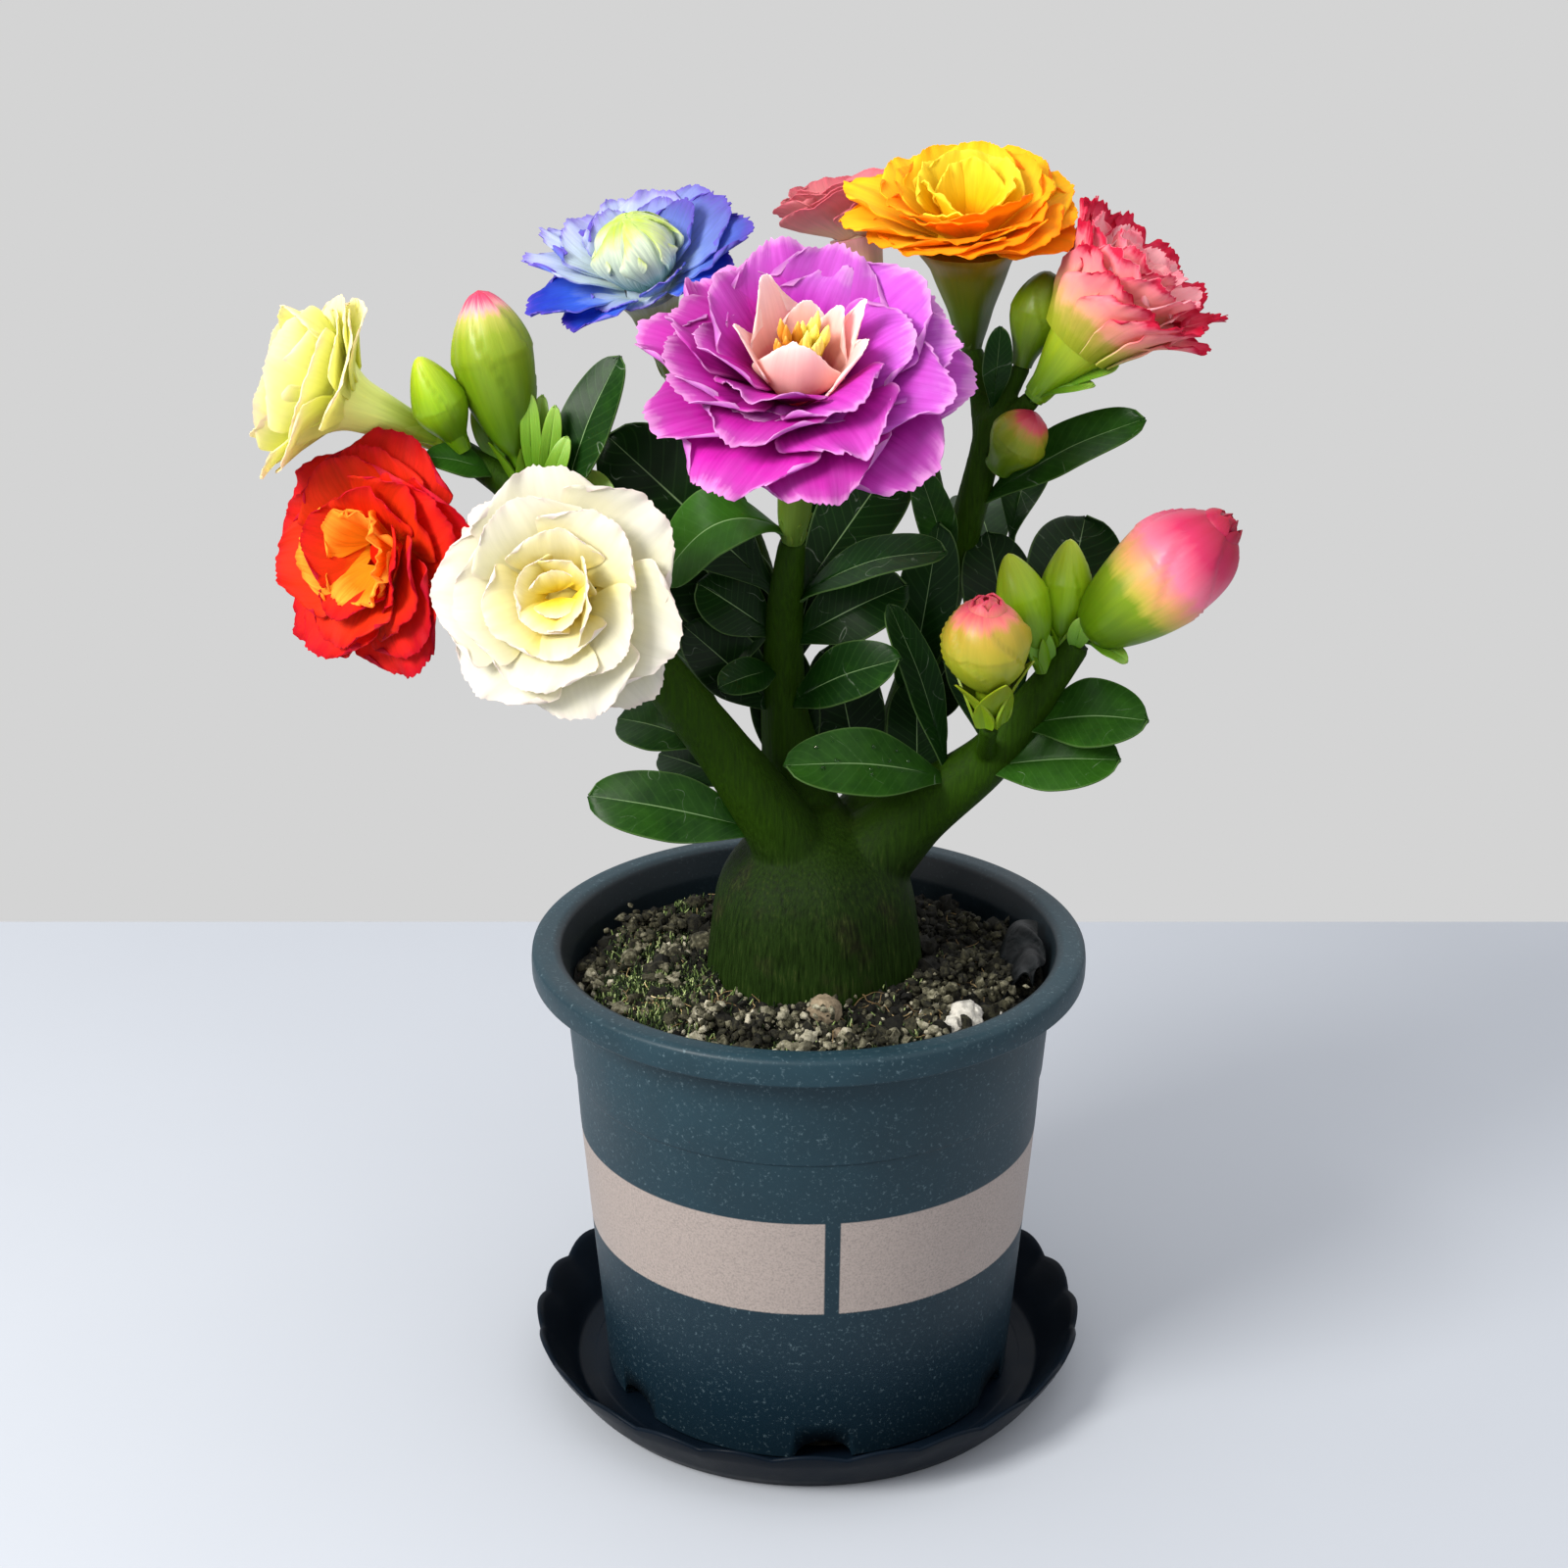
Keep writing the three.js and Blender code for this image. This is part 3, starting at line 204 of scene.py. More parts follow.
# The blooms. Each starts at the end of its limb, or at start, and looks to an azimuth and elevation. tube is the
# length of its trumpet, throat the radius of the trumpet's mouth, flare the mouth's last rings as [height, radius],
# and foot the radius of the core that closes it. Each whorl is [petals, length, half width, opening at the foot,
# opening at the tip, how far the foot stands off the axis, how high it is set], with the openings in degrees from
# the bloom's axis. more_whorls are petals that stand between those of the solids. Each row of petals is one petal:
# [azimuth, length, half width, opening at the foot, opening at the tip, foot, height, how pointed it is, tone].
# The tone runs from 0, the colours of the outer petals, to 1, those of the inner ones. depth is how much of it the
# whorls gain inwards, and lean adds to it for the petals that look that way. A row of the heart has no tone.
# base is the width of a petal's foot as a share of its widest, rounding, widest and cup shape the petals in place
# of the shares below, grow lengthens those that point up, and teeth and ruffle are the strength of their rims'.
BLOOMS = {
    "purple": {
        "limb": "middle", "azimuth": -86, "elevation": 60, "tube": 45, "throat": 7.5,
        "flare": [[-2.6, 7.5], [-0.4, 8.6]],
        "whorls": [[9, 33, 14.5, 64, 100, 7, 0], [8, 29, 13, 48, 82, 6.6, 2.2], [6, 23, 11.5, 34, 62, 6.4, 4]],
        "petals": [
            [103, 28.5, 14, 35, 56, 6, 3, 0, 0.6], [70, 28, 14, 35, 57, 6, 3, 0, 0.8],
            [32, 31, 15, 40, 68, 6, 3, 0, 1.0], [142, 26, 13, 32, 54, 6, 3, 0, 0.35],
            [6, 31, 14, 50, 82, 6, 2.6, 0, 0.95], [183, 27, 15, 52, 78, 6, 2.5, 0, 0.0],
            [265, 13, 12, 34, 74, 6, 2.5, 0, 0.6], [312, 18, 11, 40, 78, 6, 2.5, 0, 0.9],
            [234, 17, 11, 44, 80, 6, 2.5, 0, 0.3],
        ],
        "lean": [0.75, 0.25, 0.1], "depth": 0.35, "ruffle": 0.8, "teeth": 1.5, "grow": 0.06,
        "heart": [
            [255, 18.5, 9, 26, -26, 5.5, 3, 0], [338, 20, 8, 22, 28, 6, 3.5, 0.3],
            [180, 19.5, 6, 24, 30, 6, 3.5, 0.45], [130, 24, 8, 14, 26, 6, 3.5, 0.5],
            [85, 17, 7.5, 10, 16, 5.5, 3.5, 0.2], [33, 19.5, 6.4, 6, 14, 6, 3.5, 0.4],
            [22, 22.5, 4.6, 18, 25, 6, 3.5, 0.5],
        ],
        "heart_ruffle": 0.25, "heart_shape": {"widest": 0.58, "rounding": 0.36}, "stamens": 26,
    },
    "cream": {
        "limb": "left", "start": [-51.5, -17, 213], "azimuth": -99, "elevation": 14, "tube": 20, "throat": 6,
        "flare": [[-2.6, 6], [-0.4, 7]], "ruffle": 0.8, "teeth": 1.2,
        "petals": [
            [98, 24, 15, 58, 92, 5.6, 0, 0, 0], [40, 25, 15, 60, 96, 5.6, 0, 0, 0],
            [338, 24, 14, 62, 98, 5.6, 0, 0, 0], [282, 23, 14, 60, 96, 5.6, 0, 0, 0],
            [228, 24, 14, 60, 94, 5.6, 0, 0, 0], [178, 24, 15, 58, 92, 5.6, 0, 0, 0],
            [140, 22, 12, 70, 104, 5.6, -1, 0, 0], [308, 25, 12, 76, 106, 5.6, -1.4, 0, 0],
            [115, 20, 13, 46, 80, 5, 2, 0, 0.15], [52, 19, 12, 44, 78, 5, 2.2, 0, 0.15],
            [185, 20, 13, 46, 82, 5, 2, 0, 0.2], [252, 19, 13, 44, 82, 5, 2.2, 0, 0.15],
            [318, 18, 12, 42, 80, 5, 2, 0, 0.15], [88, 14, 10, 34, 62, 4.4, 3, 0, 0.5],
            [200, 15, 10, 36, 66, 4.4, 3, 0, 0.55], [276, 13, 10, 32, 64, 4.4, 3, 0, 0.5],
            [350, 15, 9, 14, 18, 5.4, 3, 0, 0.45], [60, 9.5, 7, 26, 52, 2.6, 4, 0, 1],
            [150, 9.5, 7, 28, 54, 2.6, 4, 0, 1], [230, 9.5, 7, 28, 56, 2.6, 4, 0, 1],
            [310, 10, 7, 18, 36, 2.8, 4, 0, 1], [100, 6.5, 5.4, 30, 60, 1, 5, 0, 1],
            [275, 5.5, 5, 34, 66, 0.8, 5.4, 0, 1],
        ],
    },
    "red": {
        "limb": "red", "azimuth": -124, "elevation": 12, "tube": 15, "throat": 5.5,
        "flare": [[-2.6, 5.5], [-0.4, 6.6]], "whorls": [[5, 25, 15, 58, 98, 5.6, 0], [5, 21, 12.5, 40, 72, 5, 2.2]],
        "more_whorls": [[5, 23, 13, 50, 84, 5, 1], [4, 17, 10, 28, 52, 4.4, 3]], "lean": [-0.2, 0, 0.3],
        "ruffle": 0.9, "teeth": 1.4,
        "heart": [
            [0, 17, 9, 14, 36, 4.2, 3.5, 0], [62, 15, 8, 12, 38, 4, 3.5, 0], [130, 13, 7, 16, 50, 4, 3.5, 0],
            [180, 17, 11, 34, 62, 4, 3, 0], [245, 13, 8, 26, 62, 4, 3.5, 0], [310, 16, 8, 18, 50, 4, 3.5, 0],
        ],
        "heart_ruffle": 2.0,
    },
    "yellow": {
        "limb": "left", "azimuth": -171, "elevation": 26, "tube": 24, "throat": 6.4,
        "flare": [[-1.5, 6.4], [1.5, 8.6], [4.6, 11.6]], "base": 0.5, "rounding": 0.16, "foot": 5, "ruffle": 0.35,
        "teeth": 0.9, "widest": 0.78,
        "petals": [
            [318, 24, 14, 52, -8, 5, 0, 0, 0.9], [276, 23, 14, 54, -6, 5, 0, 0, 0.75],
            [42, 23, 13, 48, -4, 5, 0.4, 0, 0.9], [88, 22, 12, 50, 0, 5, 0.4, 0, 0.6],
            [138, 21, 13, 50, 8, 5, 0.4, 0, 0.8], [228, 20.5, 14, 52, 12, 5, 0.2, 0, 1],
            [322, 18, 13, 56, 90, 5, 0, 0, 0.05], [30, 19, 14, 44, 72, 5, 0, 0, 0.2],
            [148, 19.5, 13, 54, 86, 5, 0, 0, 0.4], [210, 22, 13, 46, 74, 5, 0, 0, 0.8],
            [0, 16, 13, 44, 66, 5, 0.4, 0, 0.2], [14, 17.5, 13, 56, 92, 5, 0, 0, 0.1],
            [180, 17, 13, 48, 76, 5, 0, 0, 0.5], [70, 19, 13, 54, 84, 5, 0, 0, 0.2],
            [112, 19, 13, 54, 84, 5, 0, 0, 0.2], [300, 19, 12, 40, 60, 5, 0, 0, 0.3],
            [246, 20, 12, 48, 76, 5, 0, 0, 0.3], [190, 12, 8, 20, 40, 3, 2, 0, 1], [60, 13, 8, 14, 30, 3, 2, 0, 1],
            [320, 14, 8, 16, 34, 3, 2, 0, 1],
        ],
    },
    "blue": {
        "limb": "blue", "azimuth": 232, "elevation": 68, "tube": 24, "throat": 6.5, "flare": [[-2.6, 6.8], [-0.4, 8]],
        "ruffle": 0.9, "teeth": 2.0,
        "petals": [
            [47, 23, 10.5, 44, 70, 5.6, 1, 0, 0.5], [78, 21, 11, 40, 62, 5.6, 1, 0, 1],
            [104, 21, 10, 42, 64, 5.6, 1, 0, 1], [133, 22, 11, 46, 66, 5.6, 0.6, 0, 1],
            [150, 25, 7, 50, 68, 5.6, 1.4, 0.4, 1], [168, 25, 7.5, 54, 74, 5.6, 1, 0.3, 1],
            [188, 23.5, 12.5, 64, 98, 5.6, 0, 0, 0.0], [212, 17, 11, 68, 104, 5.6, 0, 0, 0.0],
            [20, 23, 11, 42, 70, 5.6, 1, 0, 0.28], [0, 25, 10, 50, 78, 5.6, 0.4, 0, 0.14],
            [338, 19, 9, 52, 88, 5.6, 0, 0, 0.0], [226, 10, 7, 56, 92, 5.6, 0.6, 0, 0.6],
            [306, 10, 6.5, 36, 60, 5.6, 1, 0, 0.8], [264, 6.5, 6, 62, 90, 5.6, 0.6, 0, 0.9],
            [120, 22, 9, 60, 96, 5.6, 0, 0, 0.35], [70, 22, 9, 62, 94, 5.6, 0, 0, 0.2],
            [62, 17, 8, 28, 46, 5.4, 2, 0, 0.6], [118, 17, 8, 30, 50, 5.4, 2, 0, 0.9],
            [34, 18, 7, 26, 50, 5.4, 2, 0, 0.25],
        ],
        "heart": [[51.4 * i + 9, 23.5, 9.2, 60, -84, 3.8, 2, 0.1] for i in range(7)], "heart_ruffle": 0.3,
    },
    "orange": {
        "limb": "orange", "azimuth": 256, "elevation": 77, "tube": 27, "throat": 10.8,
        "flare": [[-2.6, 11.4], [0, 13]], "teeth": 1.1, "foot": 7.6, "ruffle": 0.75, "rounding": 0.24,
        "petals": [
            [90, 22, 13, 42, 65, 6.4, 0, 0, 1], [55, 22.5, 12.5, 44, 68, 6.4, 0, 0, 0.9],
            [125, 22.5, 12.5, 44, 68, 6.4, 0, 0, 1], [20, 21, 12.5, 50, 78, 6.4, 0, 0, 0.7],
            [158, 25.5, 12.5, 52, 80, 6.4, 0, 0, 0.95], [350, 20, 12, 54, 86, 6.4, 0, 0, 0.5],
            [188, 24.5, 11.5, 56, 88, 6.4, 0, 0, 0.9], [214, 21, 11, 56, 88, 6.4, 0, 0, 0.7],
            [244, 20, 14, 54, 86, 6.4, 0, 0, 0.25], [278, 19.5, 14, 52, 84, 6.4, 0, 0, 0.15],
            [310, 20, 13, 54, 88, 6.4, 0, 0, 0.05], [330, 20.5, 11.5, 60, 100, 6.4, -0.6, 0, 0.0],
            [75, 18, 11, 24, 42, 6, 2.2, 0, 1], [112, 18, 11, 24, 44, 6, 2.2, 0, 1],
            [148, 17, 10, 32, 56, 6, 2.2, 0, 0.9], [38, 18, 10.5, 32, 56, 6, 2.2, 0, 0.75],
            [2, 17, 10, 38, 70, 6, 2.2, 0, 0.4], [200, 16, 10, 38, 68, 6, 2.2, 0, 0.5],
            [238, 15, 10, 36, 70, 6, 2.2, 0, 0.1], [290, 16, 11, 28, 54, 6, 2.2, 0, 0.0],
            [262, 17, 10, 46, 80, 6, 1, 0, 0.1], [320, 17, 10, 42, 76, 6, 1.2, 0, 0.15],
        ],
        "heart": [
            [90, 15.5, 11, 10, 38, 5, 3.5, 0], [40, 14.5, 10, 14, 44, 5, 3.5, 0], [140, 14.5, 10, 14, 44, 5, 3.5, 0],
            [190, 13, 8, 12, 36, 4.6, 3.5, 0], [350, 13, 8, 16, 42, 4.6, 3.5, 0], [255, 10, 8, 24, 58, 4.6, 3.5, 0],
            [66, 14, 7, 4, 20, 3, 4, 0], [115, 13, 7, 4, 22, 3, 4, 0],
        ],
        "heart_ruffle": 1.3,
    },
    "coral": {
        "limb": "coral", "azimuth": -8, "elevation": 53, "tube": 20, "throat": 8.4, "flare": [[-2.6, 7.9], [0, 8.1]],
        "base": 0.55,
        "petals": [
            *[
                [
                    30 * i + 6, 26.2 - 4.8 * math.cos(math.radians(30 * i + 96)), 10, 21 - shut, 40 - shut, 7.9, -3.8,
                    0, 0.0,
                ]
                for i in range(12)
                for shut in [9 * max(0.0, -math.cos(math.radians(30 * i - 14)))]
            ],
            *[[45 * i + 10, 23, 9.5, 14, 34, 6.3, 0.5, 0, 1.0] for i in range(8)],
            *[[60 * i, 21, 8.5, 4, 24, 4, 2.5, 0, 1.0] for i in range(6)], [350, 22, 7, 30, 66, 7.9, -1, 0, 0.0],
            [4, 27, 3, 26, 46, 7.9, -1, 0, 0.0],
        ],
        "ruffle": 0.95, "teeth": 2.2, "foot": 7.2, "cup": 0.27,
        "heart": [[72 * i + 20, 18, 7, 2, 20 + 6 * (i % 2), 2.4, 4, 0] for i in range(5)], "heart_ruffle": 1.5,
    },
    "dusty": {
        "limb": "dusty", "azimuth": 150, "elevation": 76, "tube": 22, "throat": 6, "flare": [[-2.6, 6], [-0.4, 7]],
        "whorls": [[6, 16.5, 11.5, 40, 68, 5, 0], [5, 13, 9, 24, 46, 4, 2.2]],
        "more_whorls": [[6, 15, 10, 30, 54, 4.6, 1.4]], "rounding": 0.12, "widest": 0.76, "ruffle": 0.3, "teeth": 0.7,
    },
}

# How all petals curl, as the solids do it, and then how their edges ruffle.
PETAL = {
    "cup": 0.12, "tilt": 0.22, "ripple": 0.035, "ripples": 4.4, "rounding": 0.3, "foot": 0.12, "widest": 0.7,
    "narrowing": 0.24,
}
CORE_TOP = 4.2
PETAL_ROWS = 16
PETAL_COLUMNS = 41

# The buds: the foot, the azimuth and elevation that it points to, the length, the radius, where it is widest
# as a share of its length, how pointed it is, how thick its neck is as a share of its radius, how far below its
# widest its belly starts as a share of its length, and its finish.
BUD_KEYS = "foot", "azimuth", "elevation", "length", "radius", "widest", "pointed", "neck", "belly", "finish"
BUDS = {
    "large_pink": [[64, -12.6, 200.5], -6, 42, 41, 12.2, 0.6, 0.0, 0.56, 0.52, "pink"],
    "round_tipped": [[41, -24.6, 183.5], -106, 78, 31, 10, 0.66, 0.0, 0.3, 0.36, "tipped"],
    "green_right_a": [[54.5, -11.4, 191], 172, 73, 29.5, 6.1, 0.62, 0.5, 0.3, 0.42, "green"],
    "green_right_b": [[58, -9.5, 193], 60, 82, 28.5, 5.9, 0.62, 0.5, 0.3, 0.42, "green"],
    "tipped_left": [[-64.5, -8.5, 233], 170, 77, 47, 9.2, 0.69, 0.34, 0.22, 0.5, "crimson_tip"],
    "green_left": [[-78.5, -10.5, 243.5], 200, 66, 24, 6.3, 0.5, 0.5, 0.24, 0.5, "green"],
    "green_tall": [[48.5, 8, 258.5], 0, 75, 22.5, 6.1, 0.56, 0.2, 0.4, 0.56, "olive"],
    "small_tipped": [[43.6, 5.6, 235], -36, 54, 17, 6.8, 0.56, 0.2, 0.5, 0.56, "tipped_olive"],
}
CRUMPLED_BUDS = "large_pink", "round_tipped"  # about to open, with the tips of their petals showing
LONG_SEPALS = {"round_tipped": (14, 10.5, 0.5)}  # length, width and lean of those unlike the others'

# ---- Small tools ----


def linear(code):
    """An sRGB hex colour as linear red, green and blue."""
    shares = [int(code[i : i + 2], 16) / 255 for i in (1, 3, 5)]
    return [c / 12.92 if c <= 0.04045 else ((c + 0.055) / 1.055) ** 2.4 for c in shares]


def unit(vectors):
    """The vectors at a length of 1."""
    vectors = np.asarray(vectors, float)
    return vectors / np.maximum(np.linalg.norm(vectors, axis=-1, keepdims=True), 1e-12)


def direction(azimuth, elevation):
    """The unit vector at an azimuth, turned from +X towards +Y, and an elevation, in degrees."""
    a, e = math.radians(azimuth), math.radians(elevation)
    return np.array([math.cos(e) * math.cos(a), math.cos(e) * math.sin(a), math.sin(e)])


def across_of(axis):
    """Two unit vectors across an axis, the first as near to +X as can be."""
    side = unit(np.array([1.0, 0, 0]) - axis * axis[0])
    return side, np.cross(axis, side)


def out_from(axis, turn):
    """The unit vector that stands out from an axis at a turn about it, in radians."""
    u, v = across_of(axis)
    return u * math.cos(turn) + v * math.sin(turn)


def smooth_step(low, high, value):
    """0 up to low, 1 from high on, and a smooth rise between them."""
    t = np.clip((value - low) / (high - low), 0, 1)
    return t * t * (3 - 2 * t)


def wander(random, count, at):
    """A smooth random line from -1 to 1 with that many bumps, read at shares from 0 to 1."""
    knots = random.uniform(-1, 1, count + 2)
    where = np.clip(at, 0, 1) * count
    low = np.floor(where).astype(int)
    t = where - low
    t = t * t * (3 - 2 * t)
    return knots[low] * (1 - t) + knots[low + 1] * t


def limb_line(points, shares):
    """Points on the smooth curve through a limb's points, with the shares spread evenly over its spans."""
    points = np.asarray(points, float)
    ends = [2 * points[0] - points[1], *points, 2 * points[-1] - points[-2]]
    spans = len(points) - 1
    where = np.clip(np.atleast_1d(shares), 0, 1) * spans
    low = np.minimum(np.floor(where).astype(int), spans - 1)
    t = (where - low)[:, None]
    ends = np.array(ends)
    before, start, end, after = (ends[low + k] for k in range(4))
    leave, arrive = (end - before) / 2, (after - start) / 2
    bend = (2 * start - 2 * end + leave + arrive) * t**3
    return bend + (-3 * start + 3 * end - 2 * leave - arrive) * t**2 + leave * t + start


def limb_point(points, share):
    """The point a share of the way along the smooth curve, measured on its length."""
    shares = np.linspace(0, 1, 400)
    line = limb_line(points, shares)
    run = np.concatenate([[0], np.cumsum(np.linalg.norm(np.diff(line, axis=0), axis=1))])
    return limb_line(points, np.interp(share * run[-1], run, shares))[0]


def part_draws(seed):
    """The part's own random draws, so that each petal lies where its solid lies."""
    state = seed * 7919
    while True:
        state = state * 16807 % 2147483647
        yield state / 2147483647


# ---- Shapes: (points in millimetres, blocks of faces, marks that each point carries for its finish) ----


def joined(shapes):
    """Several shapes as one."""
    start = 0
    blocks = []
    for points, faces, _ in shapes:
        blocks += [block + start for block in faces]
        start += len(points)
    marks = {name: np.concatenate([shape[2][name] for shape in shapes]) for name in shapes[0][2]}
    return np.concatenate([shape[0] for shape in shapes]), blocks, marks


def grid_faces(rows, columns):
    """The quads of a grid of points, facing the way that its rows cross its columns."""
    i, j = np.meshgrid(np.arange(rows - 1), np.arange(columns - 1), indexing="ij")
    a = (i * columns + j).ravel()
    return np.stack([a, a + columns, a + columns + 1, a + 1], axis=1)


def blade(middle, thickness, marks):
    """A closed thin blade about a grid of points. thickness is a number, or one for each point."""
    rows, columns = middle.shape[:2]
    down, over = np.gradient(middle, axis=0), np.gradient(middle, axis=1)
    lift = unit(np.cross(down, over)) * (np.broadcast_to(thickness, (rows, columns)) / 2)[..., None]
    points = np.concatenate([(middle + lift).reshape(-1, 3), (middle - lift).reshape(-1, 3)])
    under = rows * columns
    index = np.arange(under).reshape(rows, columns)
    loop = np.concatenate([index[:-1, 0], index[-1, :-1], index[:0:-1, -1], index[0, :0:-1]])
    after = np.roll(loop, -1)
    edge = np.stack([after, loop, loop + under, after + under], axis=1)
    top = grid_faces(rows, columns)
    both = {name: np.tile(np.broadcast_to(value, (rows, columns)).ravel(), 2) for name, value in marks.items()}
    both["side"] = np.repeat([1.0, 0.0], under)
    return points, [top, top[:, ::-1] + under, edge], both


def skin(rings, marks):
    """A closed body over rings of points, from its foot to its top, with both ends capped."""
    count, sides = rings.shape[:2]
    i, j = np.meshgrid(np.arange(count - 1), np.arange(sides), indexing="ij")
    a, b = (i * sides + j).ravel(), (i * sides + (j + 1) % sides).ravel()
    walls = np.stack([a, b, b + sides, a + sides], axis=1)
    points = np.concatenate([rings.reshape(-1, 3), rings[:1].mean(axis=1), rings[-1:].mean(axis=1)])
    first = np.arange(sides)
    second = (first + 1) % sides
    foot = np.stack([second, first, np.full(sides, count * sides)], axis=1)
    last = (count - 1) * sides
    top = np.stack([last + first, last + second, np.full(sides, count * sides + 1)], axis=1)
    kept = {}
    for name, value in marks.items():
        value = np.broadcast_to(value, (count, sides))
        kept[name] = np.concatenate([value.ravel(), [value[0].mean(), value[-1].mean()]])
    return points, [walls, foot, top], kept


def ring_points(middles, axes, radii, sides, shape=None):
    """Rings of points about an axis. shape multiplies each radius, one number for each point of each ring."""
    turns = np.linspace(0, 2 * math.pi, sides, endpoint=False)
    rings = []
    for k, (middle, axis) in enumerate(zip(middles, axes)):
        u, v = across_of(axis)
        reach = radii[k] * (1 if shape is None else shape[k])
        around = np.cos(turns)[:, None] * u + np.sin(turns)[:, None] * v
        rings.append(middle + around * np.broadcast_to(reach, sides)[:, None])
    return np.array(rings)


def tube(points, radii, sides, steps):
    """A round tube along the smooth curve through the points, with a radius at each of them."""
    shares = np.linspace(0, 1, steps)
    line = limb_line(points, shares)
    axes = unit(np.gradient(line, axis=0))
    spread = np.linspace(0, 1, len(radii))
    rings = ring_points(line, axes, np.interp(shares, spread, radii), sides)
    return skin(rings, {"along": shares[:, None]})


def turned(profile, sides, shape=None):
    """A body turned about Z from points of [radius, height], the first and last of which are off the axis."""
    turns = np.linspace(0, 2 * math.pi, sides, endpoint=False)
    profile = np.asarray(profile, float)
    rings = np.zeros((len(profile), sides, 3))
    rings[..., 0] = profile[:, :1] * np.cos(turns)
    rings[..., 1] = profile[:, :1] * np.sin(turns)
    rings[..., 2] = profile[:, 1:]
    if shape is not None:
        rings = shape(rings)
    return skin(rings, {"along": np.linspace(0, 1, len(profile))[:, None]})


def rounded(profile, reach, steps=4):
    """An outline with each of its corners rounded off by arcs that start a given reach from the corner."""
    made = [profile[0]]
    for before, corner, after in zip(profile, profile[1:], profile[2:]):
        before, corner, after = (np.array(p, float) for p in (before, corner, after))
        cut = min(reach, 0.45 * np.linalg.norm(before - corner), 0.45 * np.linalg.norm(after - corner))
        start = corner + unit(before - corner) * cut
        end = corner + unit(after - corner) * cut
        for t in np.linspace(0, 1, steps):
            made.append(((1 - t) ** 2 * start + 2 * t * (1 - t) * corner + t * t * end).tolist())
    return made + [profile[-1]]


def ball(detail):
    """The points and triangles of a round ball of radius 1."""
    mesh = bpy.data.meshes.new("ball")
    sphere = bmesh.new()
    bmesh.ops.create_icosphere(sphere, subdivisions=detail, radius=1)
    sphere.to_mesh(mesh)
    sphere.free()
    points = np.array([v.co[:] for v in mesh.vertices])
    faces = np.array([p.vertices[:] for p in mesh.polygons])
    bpy.data.meshes.remove(mesh)
    return points, faces


def scattered(random, detail, places, sizes, marks, squash=(0.55, 1.0), roughness=0.25):
    """Lumps of many shapes at the places, with one size and one of each mark for each."""
    points, faces = ball(detail)
    count = len(places)
    turns = unit(random.normal(size=(count, 4)))
    w, x, y, z = turns.T
    rotation = np.array(
        [
            [1 - 2 * (y * y + z * z), 2 * (x * y - z * w), 2 * (x * z + y * w)],
            [2 * (x * y + z * w), 1 - 2 * (x * x + z * z), 2 * (y * z - x * w)],
            [2 * (x * z - y * w), 2 * (y * z + x * w), 1 - 2 * (x * x + y * y)],
        ]
    ).transpose(2, 0, 1)
    stretch = random.uniform(*squash, size=(count, 1, 3))
    bumps = 1 + random.uniform(-roughness, roughness, size=(count, len(points), 1))
    lumps = points[None] * stretch * bumps * np.asarray(sizes)[:, None, None]
    placed = np.einsum("cij,cpj->cpi", rotation, lumps) + np.asarray(places)[:, None]
    blocks = faces[None] + (np.arange(count) * len(points))[:, None, None]
    kept = {name: np.repeat(value, len(points)) for name, value in marks.items()}
    return placed.reshape(-1, 3), [blocks.reshape(-1, 3)], kept


def new_mesh(name, points, blocks):
    """A mesh from points in millimetres and blocks of faces."""
    mesh = bpy.data.meshes.new(name)
    mesh.from_pydata(points * MM, [], [face for block in blocks for face in block.tolist()])
    return mesh


def set_mark(mesh, mark, values):
    """Gives each point of a mesh the number that its finish reads under the mark's name."""
    mesh.attributes.new(mark, "FLOAT", "POINT").data.foreach_set("value", values.astype(np.float32))


def put_in_scene(name, data):
    """An object for a mesh, a lamp or a camera, in the scene."""
    made = bpy.data.objects.new(name, data)
    bpy.context.scene.collection.objects.link(made)
    return made


def add_piece(name, shape, slot, finish, replaces=(), sharp=50.0):
    """Makes a piece of the plant or pot from a shape, with its finish, and hides the solids that it stands in for."""
    points, blocks, marks = shape
    mesh = new_mesh(name, points, blocks)
    for mark, values in marks.items():
        set_mark(mesh, mark, values)
    mesh.shade_smooth()
    mesh.set_sharp_from_angle(angle=math.radians(sharp))
    return add_object(name, mesh, slot, finish, replaces)


def add_object(name, mesh, slot, finish, replaces=()):
    mesh.materials.append(finish)
    piece = put_in_scene(name, mesh)
    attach(piece, BODY)
    if replaces:
        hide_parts(*replaces)
    return piece


# ---- Finishes: each is what the real surface is made of ----
# By number, a map range takes 0 the value, 1 and 2 the range that it comes from, and 3 and 4 the range that it
# goes to. A mix takes 0 the share, and 6 and 7 the colours at its start and end.


def set_inputs(node, inputs):
    """Fills a node's inputs: each with a number, a hex colour, a socket to link, or a node whose result it links."""
    for name, value in inputs.items():
        if isinstance(value, bpy.types.Node):
            # The colour of a mix is its third output. The result of every other node here is its first.
            value = value.outputs[2 if value.bl_idname == "ShaderNodeMix" else 0]
        if isinstance(value, bpy.types.NodeSocket):
            node.id_data.links.new(value, node.inputs[name])
        else:
            node.inputs[name].default_value = [*linear(value), 1] if isinstance(value, str) else value


def add_node(tree, kind, inputs=None, stops=None, **settings):
    """Adds one shader node with its settings, its inputs and links, and its colour stops."""
    node = tree.nodes.new("ShaderNode" + kind)
    for name, value in settings.items():
        setattr(node, name, value)
    set_inputs(node, inputs or {})
    if stops:
        row = node.color_ramp.elements
        while len(row) < len(stops):
            row.new(0.5)
        for element, (place, colour) in zip(row, stops):
            element.position = place
            element.color = [*(linear(colour) if isinstance(colour, str) else colour), 1]
    return node


